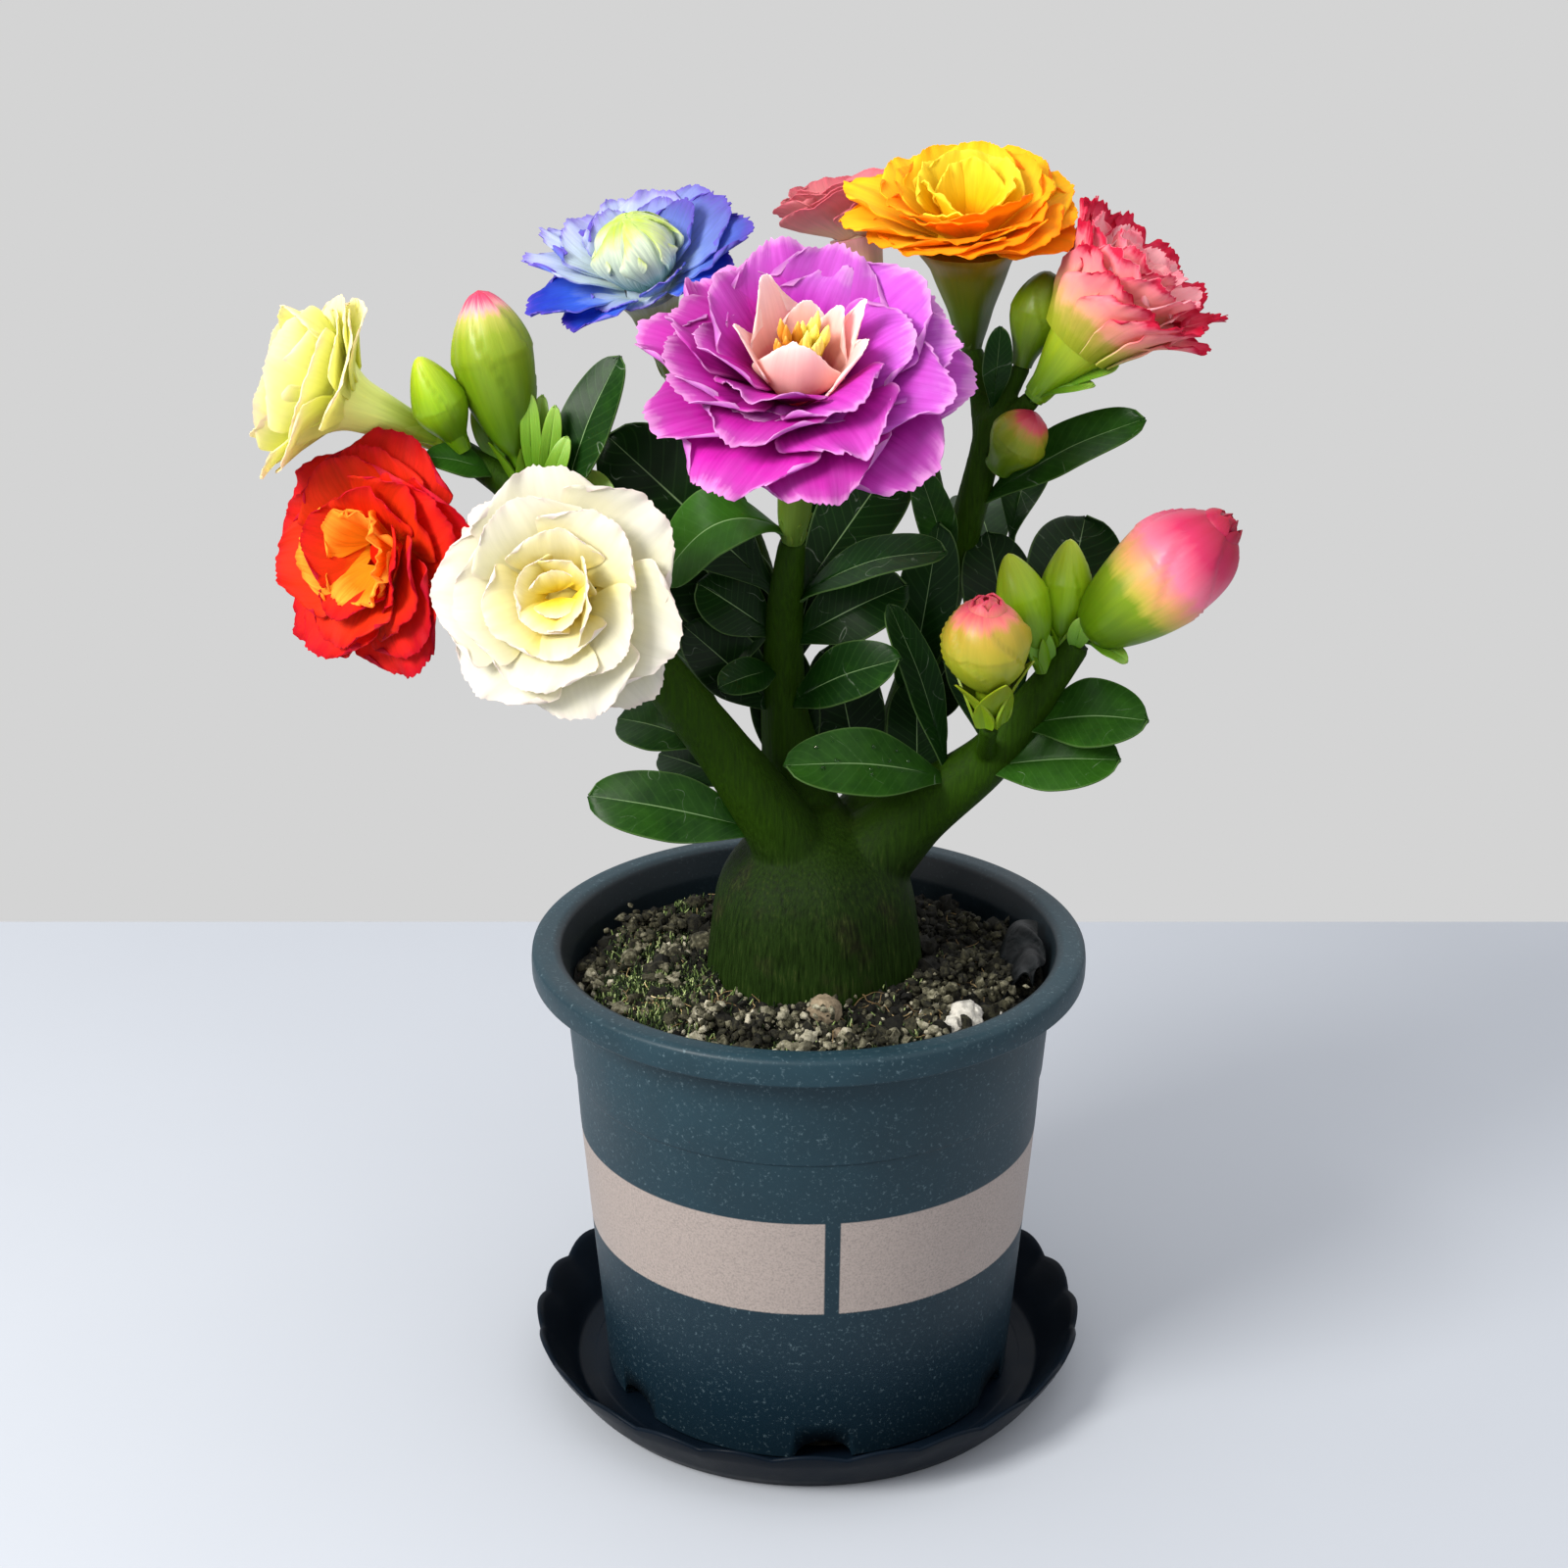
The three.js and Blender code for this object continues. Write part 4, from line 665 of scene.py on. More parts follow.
def new_finish(name, **values):
    """A material, what adds a node to it, and its shader, with the values that are the same all over the surface."""
    finish = bpy.data.materials.new(name)
    finish.use_nodes = True
    shader = finish.node_tree.nodes["Principled BSDF"]
    set_inputs(shader, {socket.replace("_", " "): value for socket, value in values.items()})
    return finish, partial(add_node, finish.node_tree), shader


def per_mm(size):
    """The scale that gives a pattern's features a real size in millimetres."""
    return 1000 / size


def pot_plastic(pot):
    """Polypropylene, injection moulded: satin slate blue, with the mould's fine grain and dust in it."""
    finish, add, shader = new_finish("polypropylene_moulded", IOR=1.49, Specular_IOR_Level=0.26)
    place = add("TexCoord").outputs["Object"]
    grain = add("TexNoise", {"Vector": place, "Scale": per_mm(0.5), "Detail": 3})
    cloud = add("TexNoise", {"Vector": place, "Scale": per_mm(26), "Detail": 5, "Roughness": 0.6})
    dark = [c * 0.72 for c in pot.plastic]
    plastic = add("ValToRGB", {"Fac": cloud}, [(0.3, dark), (0.7, list(pot.plastic))])
    # Painted shade: the wall is darkened towards its foot, which gets less light.
    parts = add("SeparateXYZ", {"Vector": place})
    painted_foot_shade = add("MapRange", {0: parts.outputs["Z"], 1: 0.015, 2: 0.1})
    shade_painted_plastic = add("Mix", {0: painted_foot_shade, 6: "#0D202B", 7: plastic}, data_type="RGBA")
    # Potting dust and lime clings to the wall as pale specks half a millimetre across.
    dust = add("TexNoise", {"Vector": place, "Scale": per_mm(1.0), "Detail": 4, "Roughness": 0.7})
    specks = add("MapRange", {0: dust, 1: 0.58, 2: 0.74, 4: 0.45})
    wall = add("Mix", {0: specks, 6: shade_painted_plastic, 7: "#728890"}, data_type="RGBA")
    # Wet soil has stained the inside of the wall.
    faced = add("VectorMath", {0: place, 1: (1, 1, 0)}, operation="MULTIPLY")
    normal = add("TexCoord").outputs["Normal"]
    facing = add("VectorMath", {0: faced, 1: normal}, operation="DOT_PRODUCT")
    # Painted shade: the inside of the wall is darkened, where it lies in shadow.
    inside = add("MapRange", {0: facing.outputs["Value"], 1: -0.01, 2: -0.045, 4: 0.8})
    wall = add("Mix", {0: inside, 6: wall, 7: "#05090E"}, data_type="RGBA")
    # The band is screen printed straight on the wall: its ink lies in the grain, thin in places.
    wobble = add("Math", {0: grain, 1: 0.0003, 2: parts.outputs["Z"]}, operation="MULTIPLY_ADD")
    low = add("MapRange", {0: wobble, 1: pot.band_low, 2: pot.band_low + 0.0003})
    high = add("MapRange", {0: wobble, 1: pot.band_high, 2: pot.band_high + 0.0003, 3: 1, 4: 0})
    front = add("Math", {0: parts.outputs["Y"], 1: -1}, operation="MULTIPLY")
    turn = add("Math", {0: parts.outputs["X"], 1: front}, operation="ARCTAN2")
    off = add("Math", {0: turn, 1: math.radians(BAND_GAP_TURN)}, operation="SUBTRACT")
    away = add("Math", {0: off}, operation="ABSOLUTE")
    half = BAND_GAP / 2 / BAND_RADIUS
    printed = add("MapRange", {0: away, 1: half, 2: half + 0.006})
    thin = add("MapRange", {0: grain, 1: 0.25, 2: 0.5, 3: 0.8, 4: 0.97})
    ink = low
    for share in (high, printed, thin):
        ink = add("Math", {0: ink, 1: share}, operation="MULTIPLY")
    pale = [min(c * 1.22, 1) for c in pot.band]
    print_colour = add("ValToRGB", {"Fac": grain}, [(0.35, list(pot.band)), (0.68, pale)])
    colour = add("Mix", {0: ink, 6: wall, 7: print_colour}, data_type="RGBA")
    gloss = add("MapRange", {0: cloud, 1: 0.3, 2: 0.7, 3: 0.4, 4: 0.52})
    bump = add("Bump", {"Strength": 0.25, "Distance": 0.0001, "Height": grain})
    set_inputs(shader, {"Base Color": colour, "Roughness": gloss, "Normal": bump})
    return finish


def saucer_plastic(pot):
    """Polypropylene, injection moulded and a shade darker: worn dull on the lip, with water stains inside."""
    finish, add, shader = new_finish("polypropylene_saucer", IOR=1.49, Specular_IOR_Level=0.05)
    place = add("TexCoord").outputs["Object"]
    cloud = add("TexNoise", {"Vector": place, "Scale": per_mm(18), "Detail": 6, "Roughness": 0.65})
    tones = [(0.3, list(pot.saucer)), (0.62, [c * 1.5 for c in pot.saucer]), (0.8, [c * 1.9 for c in pot.saucer])]
    stains = add("ValToRGB", {"Fac": cloud}, tones)
    grain = add("TexNoise", {"Vector": place, "Scale": per_mm(0.6), "Detail": 3})
    gloss = add("MapRange", {0: cloud, 1: 0.3, 2: 0.7, 3: 0.3, 4: 0.46})
    bump = add("Bump", {"Strength": 0.2, "Distance": 0.0001, "Height": grain})
    set_inputs(shader, {"Base Color": stains, "Roughness": gloss, "Normal": bump})
    return finish


def crumbly(name, stops, feature, roughness=0.95, depth=0.4):
    """Loose matter, crumbled by hand: colour by each crumb's own shade, broken up by pores of a real size."""
    finish, add, shader = new_finish(name, Roughness=roughness, Specular_IOR_Level=0.25)
    place = add("TexCoord").outputs["Object"]
    pores = add("TexNoise", {"Vector": place, "Scale": per_mm(feature), "Detail": 6, "Roughness": 0.7})
    shade = add("Attribute", attribute_name="shade").outputs["Fac"]
    spread = add("MapRange", {0: pores, 1: 0.3, 2: 0.7, 3: -0.25, 4: 0.25})
    both = add("Math", {0: shade, 1: spread}, operation="ADD")
    colour = add("ValToRGB", {"Fac": both}, stops)
    bump = add("Bump", {"Strength": 0.8, "Distance": depth * MM, "Height": pores})
    set_inputs(shader, {"Base Color": colour, "Normal": bump})
    return finish


def green_bark(plant):
    """Green bark, grown: smooth skin stretched over the swollen foot, split into fine upright fibres by growth."""
    finish, add, shader = new_finish("bark_green_grown", Specular_IOR_Level=0.06)
    place = add("TexCoord").outputs["Object"]
    # The fibres are about 0.7 mm wide and 11 mm long, upright.
    drawn = add("Mapping", {"Vector": place, "Scale": [1, 1, 0.7 / 11]})
    fibres = add(
        "TexNoise", {"Vector": drawn, "Scale": per_mm(0.7), "Detail": 5, "Roughness": 0.65, "Distortion": 0.2},
    )
    patches = add("TexNoise", {"Vector": place, "Scale": per_mm(17), "Detail": 4, "Roughness": 0.6})
    green, brown = list(plant.bark), list(plant.bark_fibre)
    old = add("ValToRGB", {"Fac": fibres},
        [(0.3, [c * 0.42 for c in green]), (0.46, green), (0.6, [c * 1.5 for c in green]), (0.72, brown)],
    )
    worn = add("ValToRGB", {"Fac": fibres},
        [(0.32, linear("#0D0C06")), (0.5, linear("#1E1E10")), (0.64, brown), (0.76, linear("#4C4C34"))],
    )
    where = add("MapRange", {0: patches, 1: 0.56, 2: 0.7})
    foot = add("Mix", {0: where, 6: old, 7: worn}, data_type="RGBA")
    young = add(
        "ValToRGB", {"Fac": fibres},
        [
            (0.25, [c * 0.6 for c in plant.bark_young]), (0.5, list(plant.bark_young)),
            (0.75, [c * 1.4 for c in plant.bark_young]),
        ],
    )
    age = add("Attribute", attribute_name="young").outputs["Fac"]
    skin_colour = add("Mix", {0: age, 6: foot, 7: young}, data_type="RGBA")
    gloss = add("MapRange", {0: fibres, 1: 0.3, 2: 0.7, 3: 0.42, 4: 0.7})
    bump = add("Bump", {"Strength": 0.6, "Distance": 0.0005, "Height": fibres})
    set_inputs(shader, {"Base Color": skin_colour, "Roughness": gloss, "Normal": bump})
    return finish


def leaf_skin(plant):
    """Leaf, grown, with a waxy skin: glossy above with a pale midrib and fine veins, dull and paler beneath."""
    finish, add, shader = new_finish("leaf_waxy_grown", Specular_IOR_Level=0.1)
    marks = {
        name: add("Attribute", attribute_name=name).outputs["Fac"] for name in ("along", "across", "shade", "side")
    }
    place = add("TexCoord").outputs["Object"]
    mottle = add("TexNoise", {"Vector": place, "Scale": per_mm(5), "Detail": 5, "Roughness": 0.6})
    spread = add("MapRange", {0: mottle, 1: 0.3, 2: 0.7, 3: -0.06, 4: 0.06})
    # Painted light and shade: the shade mark runs from a shaded leaf to a lit one, with a random mottle over it.
    tone = add("Math", {0: marks["shade"], 1: spread}, operation="ADD")
    dark, lit = list(plant.leaf_dark), list(plant.leaf_lit)
    middle = [(a + b) / 2 for a, b in zip(dark, lit)]
    green = add("ValToRGB", {"Fac": tone}, [(0.0, [c * 0.5 for c in dark]), (0.3, dark), (0.6, middle), (1.0, lit)])
    # The side veins are those of the leaf's shape.
    away = add("Math", {0: marks["across"]}, operation="ABSOLUTE")
    lean = add("Math", {0: away, 1: -VEIN_LEAN, 2: marks["along"]}, operation="MULTIPLY_ADD")
    wave = add("Math", {0: lean, 1: 2 * math.pi * LEAF_VEINS}, operation="MULTIPLY")
    veins = add("Math", {0: wave}, operation="SINE")
    vein = add("MapRange", {0: veins, 1: 0.8, 2: 1.0, 4: 0.07})
    veined = add("Mix", {0: vein, 6: green, 7: "#4E7A3A"}, data_type="RGBA")
    rib_width = add("MapRange", {0: marks["along"], 3: 0.055, 4: 0.012})
    rib = add("MapRange", {0: away, 1: 0.0, 2: rib_width, 3: 0.7, 4: 0.0}, interpolation_type="SMOOTHSTEP")
    ribbed = add("Mix", {0: rib, 6: veined, 7: [*plant.leaf_rib, 1]}, data_type="RGBA")
    edge = add("MapRange", {0: away, 1: 0.95, 2: 1.0, 4: 0.3})
    edged = add("Mix", {0: edge, 6: ribbed, 7: "#6A8A4A"}, data_type="RGBA")
    # Fine pale hairs and scratches, about 0.2 mm wide, wander over the wax in patches.
    crossing = add("TexNoise", {"Vector": place, "Scale": per_mm(17), "Detail": 2, "Distortion": 0.5})
    off = add("Math", {0: crossing, 1: 0.5}, operation="SUBTRACT")
    near = add("Math", {0: off}, operation="ABSOLUTE")
    hair = add("MapRange", {0: near, 1: 0.0005, 2: 0.004, 3: 0.26, 4: 0.0})
    patch = add("MapRange", {0: mottle, 1: 0.48, 2: 0.62})
    hairs = add("Math", {0: hair, 1: patch}, operation="MULTIPLY")
    haired = add("Mix", {0: hairs, 6: edged, 7: "#AEBBA8"}, data_type="RGBA")
    under = add("MapRange", {0: marks["side"], 3: 0.5, 4: 0.0})
    colour = add("Mix", {0: under, 6: haired, 7: "#3E5630"}, data_type="RGBA")
    gloss = add("MapRange", {0: marks["side"], 3: 0.6, 4: 0.36})
    relief = add("Math", {0: vein, 1: mottle}, operation="ADD")
    bump = add("Bump", {"Strength": 0.25, "Distance": 0.0003, "Height": relief})
    set_inputs(shader, {"Base Color": colour, "Roughness": gloss, "Normal": bump})
    return finish


def petal_skin(name, colours, main=None):
    """Petal, grown, thin and soft: velvety, with fine veins from foot to rim, and light that shows through it."""
    finish, add, shader = new_finish(name, Roughness=0.6, Specular_IOR_Level=0.12)
    strength = colours.get("veins", 1.0)
    marks = {
        mark: add("Attribute", attribute_name=mark).outputs["Fac"]
        for mark in ("along", "across", "shade", "side", "layer", "rim")
    }
    place = add("TexCoord").outputs["Object"]
    cloud = add("TexNoise", {"Vector": place, "Scale": per_mm(7), "Detail": 4, "Roughness": 0.55})
    # The veins fan out from the foot, about 1 mm apart at the rim.
    fan = add("Math", {0: marks["across"], 1: 13}, operation="MULTIPLY")
    run = add("Math", {0: marks["along"], 1: 1.3}, operation="MULTIPLY")
    each = add("Math", {0: marks["shade"], 1: 41}, operation="MULTIPLY")
    lines = add("CombineXYZ", {0: fan, 1: run, 2: each})
    veins = add("TexNoise", {"Vector": lines, "Scale": 1.0, "Detail": 3, "Roughness": 0.55})
    shift = add("MapRange", {0: veins, 1: 0.3, 2: 0.7, 3: -0.06 * strength, 4: 0.06 * strength})
    drift = add("MapRange", {0: cloud, 1: 0.3, 2: 0.7, 3: -0.1, 4: 0.1})
    moved = add("Math", {0: marks["along"], 1: shift}, operation="ADD")
    along = add("Math", {0: moved, 1: drift}, operation="ADD")
    ramps = {}
    for part in ("outer", "inner", "back"):
        stops = [(spot, main if colour is None else colour) for spot, colour in colours[part]]
        ramps[part] = add("ValToRGB", {"Fac": along}, stops)
    faces = add("Mix", {0: marks["layer"], 6: ramps["outer"], 7: ramps["inner"]}, data_type="RGBA")
    under = add("MapRange", {0: marks["side"], 3: 1.0, 4: 0.0})
    both = add("Mix", {0: under, 6: faces, 7: ramps["back"]}, data_type="RGBA")
    rimmed = add("Math", {0: marks["rim"], 1: colours.get("rim_strength", 0.75)}, operation="MULTIPLY")
    if colours.get("inner_rim", 1) < 1:
        inmost = add("MapRange", {0: marks["layer"], 3: 1, 4: colours["inner_rim"]})
        rimmed = add("Math", {0: rimmed, 1: inmost}, operation="MULTIPLY")
    edged = add("Mix", {0: rimmed, 6: both, 7: [*linear(colours["rim"]), 1]}, data_type="RGBA")
    dark = add("MapRange", {0: veins, 1: 0.35, 2: 0.65, 3: 1 - 0.13 * strength, 4: 1 + 0.07 * strength})
    own = add("MapRange", {0: marks["shade"], 3: 0.94, 4: 1.08})
    value = add("Math", {0: dark, 1: own}, operation="MULTIPLY")
    colour = add("HueSaturation", {"Value": value, "Color": edged})
    bump = add("Bump", {"Strength": 0.5 * strength, "Distance": 0.0003, "Height": veins})
    set_inputs(shader, {"Base Color": colour, "Normal": bump})
    # The paler the bloom's flesh, the less the light that shows through it takes on its colour.
    flesh = add("Gamma", {"Color": colour, "Gamma": colours.get("flesh", 1.0)})
    through = add("BsdfTranslucent", {"Color": flesh, "Normal": bump})
    blend = add("MixShader", {0: 0.45, 1: shader, 2: through})
    set_inputs(finish.node_tree.nodes["Material Output"], {"Surface": blend})
    return finish


def fleshy_skin(name, stops, ribs, roughness=0.34):
    """Bud or flower tube, grown, fleshy: a smooth skin whose colour runs from foot to tip in fine long streaks."""
    finish, add, shader = new_finish(
        name, Roughness=roughness, Specular_IOR_Level=0.26, Coat_Weight=0.06, Coat_Roughness=0.35,
        Subsurface_Weight=0.12, Subsurface_Scale=0.002,
    )
    marks = {mark: add("Attribute", attribute_name=mark).outputs["Fac"] for mark in ("along", "across", "shade")}
    fan = add("Math", {0: marks["across"], 1: ribs}, operation="MULTIPLY")
    run = add("Math", {0: marks["along"], 1: 2.2}, operation="MULTIPLY")
    lines = add("CombineXYZ", {0: fan, 1: run, 2: marks["shade"]})
    streaks = add("TexNoise", {"Vector": lines, "Scale": 1.0, "Detail": 4, "Roughness": 0.6})
    shift = add("MapRange", {0: streaks, 1: 0.3, 2: 0.7, 3: -0.028, 4: 0.028})
    along = add("Math", {0: marks["along"], 1: shift}, operation="ADD")
    ramp = add("ValToRGB", {"Fac": along}, stops)
    value = add("MapRange", {0: streaks, 1: 0.35, 2: 0.65, 3: 0.94, 4: 1.04})
    colour = add("HueSaturation", {"Value": value, "Color": ramp})
    bump = add("Bump", {"Strength": 0.2, "Distance": 0.0004, "Height": streaks})
    set_inputs(shader, {"Base Color": colour, "Normal": bump})
    return finish


def water():
    """Water, standing in beads: clear, with a bright glint."""
    finish, add, shader = new_finish("water_drops", Roughness=0.02, IOR=1.33, Transmission_Weight=1.0)
    place = add("TexCoord").outputs["Object"]
    sway = add("TexNoise", {"Vector": place, "Scale": per_mm(2)})
    tint = add("ValToRGB", {"Fac": sway}, [(0.3, "#F4FAFF"), (0.7, "#FFFFFF")])
    set_inputs(shader, {"Base Color": tint})
    return finish


def wrinkled_film():
    """Polythene film, blown and crumpled: glossy black with soft creases."""
    finish, add, shader = new_finish("polythene_film", Roughness=0.4, IOR=1.5, Specular_IOR_Level=0.12)
    place = add("TexCoord").outputs["Object"]
    folds = add("TexNoise", {"Vector": place, "Scale": per_mm(5), "Detail": 4, "Distortion": 0.6})
    tone = add("ValToRGB", {"Fac": folds}, [(0.3, "#020303"), (0.7, "#0C1012")])
    bump = add("Bump", {"Strength": 0.6, "Distance": 0.001, "Height": folds})
    set_inputs(shader, {"Base Color": tone, "Normal": bump})
    return finish


def stage_paper(colour):
    """Studio paper, rolled: matt and pale, with a faint cloud of tone."""
    finish, add, shader = new_finish("studio_paper", Roughness=0.85, Specular_IOR_Level=0.2)
    place = add("TexCoord").outputs["Object"]
    cloud = add("TexNoise", {"Vector": place, "Scale": per_mm(180), "Detail": 3})
    tones = [(0.3, [c * 0.97 for c in colour]), (0.7, list(colour))]
    tone = add("ValToRGB", {"Fac": cloud}, tones)
    set_inputs(shader, {"Base Color": tone})
    return finish


# ---- The pieces ----


def pot_radius(z):
    """The plain taper of the pot's outside at a height."""
    return POT_BOTTOM_RADIUS + (POT_TOP_RADIUS - POT_BOTTOM_RADIUS) * (z - POT_FOOT_Z) / (POT_HEIGHT - POT_SKIRT)


def add_saucer(pot):
    """A shallow dish whose lip is scalloped, with a raised ring that the pot stands in."""
    base = SAUCER_BASE
    lip_z = 14.6
    profile = [
        [0.1, 0], [base - 6, 0], [base - 5, 0.8], [base - 2, 0.8], [base - 1, 0], [base, 0], [62.4, 3.6],
        [67.6, 11.0], [69.2, lip_z - 0.5], [68.6, lip_z + 0.1], [67.6, lip_z - 0.6], [65.6, 11.2], [60.6, 4.2],
        [58.8, SAUCER_FLOOR], [54.8, SAUCER_FLOOR], [54.3, SAUCER_FLOOR + 0.1], [40, SAUCER_FLOOR + 0.1],
        [39.4, SAUCER_FLOOR], [0.1, SAUCER_FLOOR],
    ]
    fine = rounded(profile, 0.9)

    def scalloped(rings):
        turn = np.arctan2(rings[..., 1], rings[..., 0])
        wave = np.abs(np.cos(turn * SCALLOPS / 2)) - 0.6
        reach = smooth_step(3.0, lip_z - 1, rings[..., 2]) * (np.hypot(rings[..., 0], rings[..., 1]) > 58)
        out = 1 + 0.8 * wave * reach / 69
        rings[..., :2] *= out[..., None]
        rings[..., 2] += 1.8 * wave * reach**2
        return rings

    shape = turned(fine, SCALLOPS * 12, scalloped)
    return add_piece("dish", shape, "saucer_plastic", saucer_plastic(pot), ["saucer"], sharp=60)


def notch_wedge(turn):
    """What is cut out of the pot's foot where water drains: an arched slot across the wall."""
    arch = [[math.cos(a) * DRAIN["half_width"], math.sin(a) * DRAIN["height"]] for a in np.linspace(0, math.pi, 15)]
    loop = np.array([*arch, [-DRAIN["half_width"], -2], [DRAIN["half_width"], -2]])
    out = direction(turn, 0)
    side = direction(turn + 90, 0)
    rings = []
    for reach in (POT_BOTTOM_RADIUS - DRAIN["depth"] / 2, POT_BOTTOM_RADIUS + DRAIN["depth"] / 2):
        middle = out * reach + np.array([0, 0, POT_FOOT_Z])
        rings.append(middle + loop[:, :1] * side + loop[:, 1:] * np.array([0, 0, 1.0]))
    return skin(np.array(rings), {})


def add_pot(pot):
    """The grower's pot: a thin tapered wall with a parting line, a deep rolled rim, and drain notches in its foot."""
    line, under = MOULD_LINE_Z, POT_TOP_Z - 1.8
    rim = POT_RIM
    profile = [
        [0.1, POT_FOOT_Z], [44, POT_FOOT_Z], [45, POT_FOOT_Z + 1.2], [47, POT_FOOT_Z + 1.2], [48, POT_FOOT_Z],
        [POT_BOTTOM_RADIUS, POT_FOOT_Z], [pot_radius(14), 14], [pot_radius(40), 40], [pot_radius(72), 72],
        [pot_radius(line) - 0.35, line - 0.1], [pot_radius(line) + 0.05, line + 0.3], [pot_radius(100), 100],
        [POT_TOP_RADIUS, under], [rim - 1.6, under], [rim - 1.6, POT_TOP_Z - POT_SKIRT], [rim, POT_TOP_Z - POT_SKIRT],
        [rim + 0.1, POT_TOP_Z - 3.2], [rim - 0.2, POT_TOP_Z - 0.7], [rim - 1.6, POT_TOP_Z],
        [POT_MOUTH + 1.2, POT_TOP_Z], [POT_MOUTH - 0.6, POT_TOP_Z - 0.9],
        [POT_TOP_RADIUS - POT_WALL, POT_TOP_Z - POT_SKIRT], [POT_BOTTOM_RADIUS - POT_WALL, POT_FOOT_Z + 2],
        [0.1, POT_FOOT_Z + 2],
    ]
    piece = add_piece(
        "grower_pot", turned(rounded(profile, 0.7), 192), "pot_plastic", pot_plastic(pot), ["pot"], sharp=40,
    )
    notches = joined([notch_wedge(DRAIN["turn"] + 360 * i / DRAIN["count"]) for i in range(DRAIN["count"])])
    cutter_mesh = new_mesh("notches", notches[0], notches[1])
    cutter = put_in_scene("notches", cutter_mesh)
    cut = piece.modifiers.new("notches", "BOOLEAN")
    cut.object = cutter
    cut.operation = "DIFFERENCE"
    bake_modifiers(piece)
    bpy.data.objects.remove(cutter)
    bpy.data.meshes.remove(cutter_mesh)
    return piece


def bake_modifiers(piece):
    """Puts what a piece's modifiers make in its mesh, and takes them off it."""
    bpy.context.view_layer.update()
    ready = bpy.data.meshes.new_from_object(piece.evaluated_get(bpy.context.evaluated_depsgraph_get()))
    old = piece.data
    piece.modifiers.clear()
    piece.data = ready
    ready.name = piece.name
    bpy.data.meshes.remove(old)


def soil_height(x, y):
    """The soil's surface: a low dome up to the stem, with soft lumps."""
    reach = np.hypot(x, y) / (POT_TOP_RADIUS - POT_WALL)
    lumps = 0.9 * np.sin(x * 0.21 + 1.3) * np.cos(y * 0.17) + 0.6 * np.sin(x * 0.37 - y * 0.33)
    return POT_TOP_Z - SOIL_BELOW_RIM + SOIL_DOME * (1 - reach * reach) + lumps


def fine_noise(x, y, sizes, random):
    """A bumpy height from -1 to 1, made of waves of the sizes in millimetres that run in random directions."""
    total = np.zeros_like(x)
    for size in sizes:
        for _ in range(5):
            turn, phase = random.uniform(0, 2 * math.pi, 2)
            total += np.sin((x * math.cos(turn) + y * math.sin(turn)) * 2 * math.pi / size + phase)
    return total / (3 * math.sqrt(len(sizes)))


def on_soil(random, count, nearest, furthest, around=None, spread=0.0):
    """Places on the soil: anywhere between two distances from the middle, or in a patch around a point."""
    if around is not None:
        flat = np.asarray(around) + random.normal(size=(count, 2)) * spread
    else:
        turn = random.uniform(0, 2 * math.pi, count)
        reach = np.sqrt(random.uniform(nearest**2, furthest**2, count))
        flat = np.stack([reach * np.cos(turn), reach * np.sin(turn)], axis=1)
    reach = np.hypot(flat[:, 0], flat[:, 1])
    flat *= (np.minimum(reach, furthest) / np.maximum(reach, 1e-9))[:, None]
    return np.column_stack([flat, soil_height(flat[:, 0], flat[:, 1])])


def soil_ground(random):
    """The potting mix as one body: its rough top, and the plug of it that fills the pot."""
    radii = np.concatenate([[0.1], np.linspace(4, SOIL_RADIUS, 76)])
    turns = np.linspace(0, 2 * math.pi, 220, endpoint=False)
    x, y = radii[:, None] * np.cos(turns), radii[:, None] * np.sin(turns)
    rough = 0.9 * fine_noise(x, y, [3.2, 5.5, 9], random) + random.uniform(-0.3, 0.3, x.shape)
    z = soil_height(x, y) + rough * smooth_step(SOIL_RADIUS, 55, radii)[:, None]
    top = np.stack([x, y, z], axis=-1)[::-1]
    low = POT_FOOT_Z + 2.4
    wall = [
        np.stack([reach * np.cos(turns), reach * np.sin(turns), np.full(len(turns), height)], axis=-1)
        for reach, height in ((0.1, low), *((pot_radius(height) - 2.3, height) for height in (low, 50.0, 100.0)))
    ]
    rings = np.concatenate([wall, top])
    shade = 0.22 + random.uniform(-0.08, 0.08, rings.shape[:2])
    return skin(rings, {"shade": shade})


def strand(points, radius, shade, sides=5, steps=18):
    """A fibre or rootlet along a curve, with an even shade."""
    shape = tube(points, [radius, radius * 0.8, radius * 0.5], sides, steps)
    return shape[0], shape[1], {"shade": np.full(len(shape[0]), shade)}


def curled_strands(random, count, around, spread, length, radius, shades, furthest=54):
    """Curled fibres that lie on the soil about a point."""
    made = []
    for foot in on_soil(random, count, 0, furthest, around, spread):
        turn = random.uniform(0, 2 * math.pi)
        points = []
        at = foot[:2].copy()
        for _ in range(5):
            points.append([*at, soil_height(*at) + random.uniform(0.2, 1.8)])
            turn += random.uniform(-1.1, 1.1)
            at = at + length / 4 * np.array([math.cos(turn), math.sin(turn)])
            at *= min(1, furthest / max(np.hypot(*at), 1e-9))
        made.append(strand(points, radius, random.uniform(*shades)))
    return made


def tufts(random, around, spread, count, height, furthest=54):
    """Moss: short upright leaflets that stand on the soil about a point."""
    made = []
    for foot in on_soil(random, count, 0, furthest, around, spread):
        lean = direction(random.uniform(0, 360), random.uniform(12, 80))
        rise = height * random.uniform(0.5, 1.2)
        points = [foot - lean * 0.6, foot + lean * rise * 0.5 + [0, 0, 0.5], foot + lean * rise + [0, 0, 0.9]]
        made.append(strand(points, 0.26, random.uniform(0, 1) ** 1.6, sides=4, steps=4))
    return made


